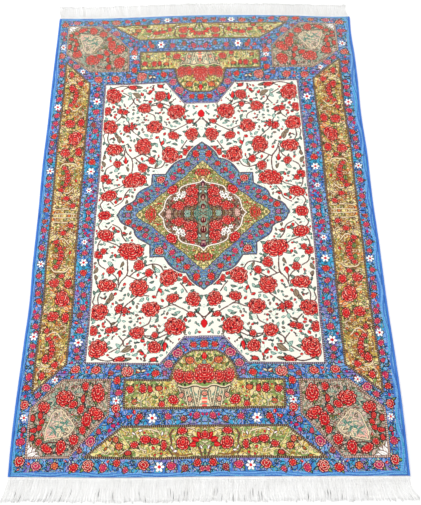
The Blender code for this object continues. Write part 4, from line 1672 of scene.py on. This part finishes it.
for side in ("left", "right"):
    tube = wrapped_cord(side)
    ring_count = len(tube)
    faces, corner_rings, corner_sides = tube_faces(ring_count, CORD_SIDES)
    caps = tube_caps(ring_count, CORD_SIDES)
    cord = make_piece(f"wrapped_cord_{side}", tube.reshape(-1, 3), [faces[:, ::-1], caps], cord_finish)
    lanes = cord_bake_places(corner_rings, corner_sides, ring_count)[:, ::-1].reshape(-1, 2)
    cap_places = np.full((caps.size, 2), 0.001) + 0.004 * np.tile(np.eye(2), (caps.size // 2, 1))
    add_uv(cord, "OFBake", np.concatenate([lanes, cap_places]))
    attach(cord, "root")
    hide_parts(f"selvedge_{side}")
    print(cord.name, "has", 2 * len(faces) + 2 * (CORD_SIDES - 2), "triangles")

# %% [markdown]
# ## The fringe
#
# The fringe is the warp itself: the cotton yarns that the knots are tied on, left long at both ends. They run
# over a narrow woven heading in small bunches and lie on the floor, nearly straight, drifting together where
# a hand has combed them. Each yarn is a thin tube with three sides. Bunches follow the construction's locks,
# and single yarns stray from their bunch the more, the nearer they are to their tips. Where two bunches part,
# a few yarns stay behind on the floor between them, with shade painted into their colour. Some tips get
# painted shade too, and the near yarns a faint painted glow.

# %% The fringe's yarns
STRIP_WIDTH = 5.0 * MM
STRIP_THICKNESS = 3.2 * MM
FRINGE_LENGTH = 61 * MM
LOCKS_PER_END = 144
YARNS_A_LOCK = 12
YARN_RADIUS = 0.46 * MM
YARN_STEPS = 9
YARN_SIDES = 3
LOCK_WANDER = 3.0 * MM
WANDER_ACROSS = 18.0
WANDER_ALONG = 4.5
LOOSE_END = 9 * MM  # the most that a yarn falls short of the longest
ROOT_GAP = 0.5 * MM
HALF_FRINGE = HALF_WIDTH + SEAM_GAP + CORD_WIDTH / 2
GATHER = 0.42  # the share of its width that a lock loses towards its tips
STRAY = 0.9 * MM
CURL = 0.35 * MM
LAYERS = 2.2  # how many radii the upper yarns lie above the lowest
SINK_AT = 0.14  # the share of the run at which a yarn is half way down from the heading
GAP_YARNS = (0, YARNS_A_LOCK - 2)  # a gap holds a lock's first yarn and its neighbour's last two
PAINTED_SHADE_DEPTH, PAINTED_SHADE_REACH = 0.97, 0.13  # how dark the painted shade in a gap gets, and over which share of the run
PAINTED_TIP_SHADE = 0.35  # the share of yarns whose tips get painted shade
# each fringe: its direction along Y, how far its corner locks lean out, how far all its locks lean, the share
# of its gaps that get painted shade, and how uneven its yarns are
FRINGES = {
    "near": {"sign": -1, "splay": 0.020, "lean": 0.000, "seed": 3, "gaps": 0.24, "uneven": 0.10},
    "far": {"sign": 1, "splay": 0.003, "lean": -0.008, "seed": 4, "gaps": 0.0, "uneven": 0.03},
}


def fringe_yarns(end):
    """The middle lines of a fringe's yarns, an array of yarns by steps by three, and how light each yarn is
    at each step: its own uneven tone, darkened by painted shade in some gaps between locks and at some tips.
    A yarn starts on the heading and runs out along Y. Sideways it has its lock's lean, splay and shared wave,
    its own stray that grows with the square of the run, and a small curl. Past the heading it sinks to the
    floor."""
    shape = FRINGES[end]
    dice = np.random.default_rng(shape["seed"])
    count = LOCKS_PER_END * YARNS_A_LOCK
    pitch = 2 * HALF_FRINGE / LOCKS_PER_END
    lock = np.repeat(np.arange(LOCKS_PER_END), YARNS_A_LOCK)[:, None]
    root_x = -HALF_FRINGE + (lock + 0.5) * pitch
    offset = (np.tile(np.arange(YARNS_A_LOCK), LOCKS_PER_END)[:, None] + 0.5) / YARNS_A_LOCK - 0.5
    offset = offset + (dice.random((count, 1)) - 0.5) * 0.12
    run = np.linspace(0, 1, YARN_STEPS)[None, :] ** 1.3
    # painted shade: a share of the gaps between locks get a depth of shade, painted into the colour of the
    # yarns at the locks' edges
    gap = np.where(dice.random(LOCKS_PER_END) < shape["gaps"], dice.random(LOCKS_PER_END), 0)
    place = np.arange(count)[:, None] % YARNS_A_LOCK
    painted_gap_shade = np.where(place <= GAP_YARNS[0], gap[lock - 1], np.where(place >= GAP_YARNS[1], gap[lock], 0))
    lock_short = dice.random((LOCKS_PER_END, 1))[lock[:, 0]] * 0.5
    length = FRINGE_LENGTH - ROOT_GAP - LOOSE_END * (0.5 * dice.random((count, 1)) ** 2 + lock_short)
    spread = np.where(painted_gap_shade > 0, 1.0, 1.0 - GATHER * run**0.8)
    stray = dice.normal(0, STRAY, (count, 1)) * run**2 * (painted_gap_shade == 0)
    curl = CURL * np.sin(2 * np.pi * (run * (1 + dice.random((count, 1))) + dice.random((count, 1)))) * run
    lean = shape["splay"] * (root_x / HALF_FRINGE) ** 3 * run**1.4 + shape["lean"] * run
    shared = LOCK_WANDER * np.sin(WANDER_ACROSS * root_x + WANDER_ALONG * run) * run
    start_x, start_y = swollen(root_x, shape["sign"] * (HALF_LENGTH + SEAM_GAP + ROOT_GAP))
    x = start_x + offset * pitch * spread + lean + shared + stray + curl
    y = start_y + shape["sign"] * length * run
    layer = dice.random((count, 1)) * (painted_gap_shade == 0)
    floor_height = YARN_RADIUS * (1.0 + LAYERS * layer)
    on_heading = 1 / (1 + (run / SINK_AT) ** 5)
    z = floor_height + (STRIP_THICKNESS + 0.8 * YARN_RADIUS - floor_height) * on_heading + 0.25 * np.abs(curl)
    # where along its run a yarn's painted shade is darkest
    painted_shade_peak = dice.random(LOCKS_PER_END)[lock - (place <= GAP_YARNS[0])] * 0.35 + 0.6
    light = 1 - shape["uneven"] * (0.6 * dice.random((count, 1)) + 0.4 * dice.random(LOCKS_PER_END)[lock])
    light = light * (1 - PAINTED_SHADE_DEPTH * np.sqrt(painted_gap_shade) * np.exp(-(((run - painted_shade_peak) / PAINTED_SHADE_REACH) ** 2)))
    # painted shade under some tips: their last step is darker
    light = light * (1 - 3 * shape["uneven"] * (dice.random((count, 1)) < PAINTED_TIP_SHADE) * (run > 0.9))
    return np.stack([x, y + 0 * x, z + 0 * x], -1), light


print(LOCKS_PER_END * YARNS_A_LOCK, "yarns at each end")

# %% The fringe's meshes
HEADING_STEPS = 160


def yarn_tubes(lines):
    """Three-sided tubes round the lines: each ring lies across Y, turns a little from step to step, and the
    last one is narrower."""
    count, steps, _ = lines.shape
    dice = np.random.default_rng(count)
    radius = YARN_RADIUS * (0.85 + 0.3 * dice.random((count, 1))) * np.linspace(1, 0.8, steps)
    turn = dice.random((count, 1)) * 2 * np.pi + np.linspace(0, 2.5, steps)[None, :]
    angle = turn[..., None] + np.arange(YARN_SIDES) * 2 * np.pi / YARN_SIDES
    around = np.stack([np.cos(angle), 0 * angle, np.sin(angle)], -1) * radius[..., None, None]
    return lines[:, :, None, :] + around


def heading(end):
    """The woven heading: a strip along the cloth's edge whose section is a rectangle with rounded corners."""
    x = np.linspace(-HALF_FRINGE, HALF_FRINGE, HEADING_STEPS + 1)[:, None]
    section = np.array([(0, 0.15), (0.06, 0), (0.94, 0), (1, 0.15), (1, 0.8), (0.9, 1), (0.1, 1), (0, 0.85)])
    x, y = swollen(x, FRINGES[end]["sign"] * (HALF_LENGTH + SEAM_GAP + STRIP_WIDTH * section[:, 0]))
    z = STRIP_THICKNESS * section[:, 1] + 0 * x
    return np.stack([x + 0 * y, y + 0 * x, z], -1)


warp = Finish("warp_fringe")
warp_place = warp.place()
warp_stretch = warp.node("Mapping", {}, {"Vector": warp_place, "Scale": (1.0, 0.25, 1.0)})
warp_fibre = warp.noise(warp_stretch, 1400.0, 2.0)
warp_tone = warp.noise(warp_stretch, 60.0, 3.0)
warp_tone = warp_fibre * 0.4 + warp_tone * 0.6
cotton = warp.ramp(warp_tone, (0.25, (244, 243, 240)), (0.55, (252, 252, 251)), (0.8, (255, 255, 255)))
# the yarns' own uneven tone times the painted shade held in their light attribute
tone_and_painted_shade = warp.attribute("light")
cotton = warp.mix("MULTIPLY", cotton, tone_and_painted_shade)
_, warp_along, _ = warp.parts(warp_place)
painted_glow_near = warp.math("LESS_THAN", warp_along, 0.0)  # painted glow: the near yarns emit a little light, standing in for light from beyond the rug shining through them
painted_glow = warp.grey(painted_glow_near * warp.parts(tone_and_painted_shade)[0])
warp_relief = warp.relief(warp_fibre, 0.35, 0.2 * MM)
warp.set_surface(
    Base_Color=cotton, Roughness=0.7 + warp_fibre * 0.2, Specular_IOR_Level=0.2, Sheen_Weight=0.1,
    Normal=warp_relief, Emission_Color=painted_glow, Emission_Strength=0.17,
)

for end, shape in FRINGES.items():
    lines, light = fringe_yarns(end)
    tubes = yarn_tubes(lines)
    count, steps = tubes.shape[:2]
    one_tube, _, _ = tube_faces(steps, YARN_SIDES)
    firsts = (np.arange(count) * steps * YARN_SIDES)[:, None, None]
    yarn_faces = (one_tube + firsts).reshape(-1, 4)
    caps = (tube_caps(steps, YARN_SIDES)[:, None] + firsts[:, 0]).reshape(-1, YARN_SIDES)
    strip = heading(end)
    strip_rings, strip_sides = strip.shape[:2]
    strip_faces, _, _ = tube_faces(strip_rings, strip_sides)
    strip_first = count * steps * YARN_SIDES
    strip_caps = tube_caps(strip_rings, strip_sides)
    points = np.concatenate([tubes.reshape(-1, 3), strip.reshape(-1, 3)])
    # mirrored at the other end, a face runs the other way round
    strip_way = shape["sign"]
    yarn_way = -strip_way
    polygons = [
        yarn_faces[:, ::yarn_way], caps[:, ::yarn_way],
        (strip_faces + strip_first)[:, ::strip_way], (strip_caps + strip_first)[:, ::strip_way],
    ]
    fringe = make_piece(f"fringe_yarns_{end}", points, polygons, warp)
    # each point's own tone with its painted shade; the heading gets none
    light = np.concatenate([np.repeat(light.ravel(), YARN_SIDES), np.ones(strip_rings * strip_sides)])
    add_values(fringe, "light", np.repeat(light[:, None], 3, axis=1), "POINT")
    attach(fringe, "root")
    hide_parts(f"fringe_{end}")
    print(fringe.name, "has", sum(len(p) * (p.shape[1] - 2) for p in polygons), "triangles")

# %% [markdown]
# ## The rug's box
#
# The box of the finished rug is printed beside the construction's box, so that the two can be compared.

# %% Size of the finished rug
boxes = {"cad": cad_box, "visual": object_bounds()}
for name, box in boxes.items():
    print(name, [[round(1000 * value, 1) for value in corner] for corner in box])
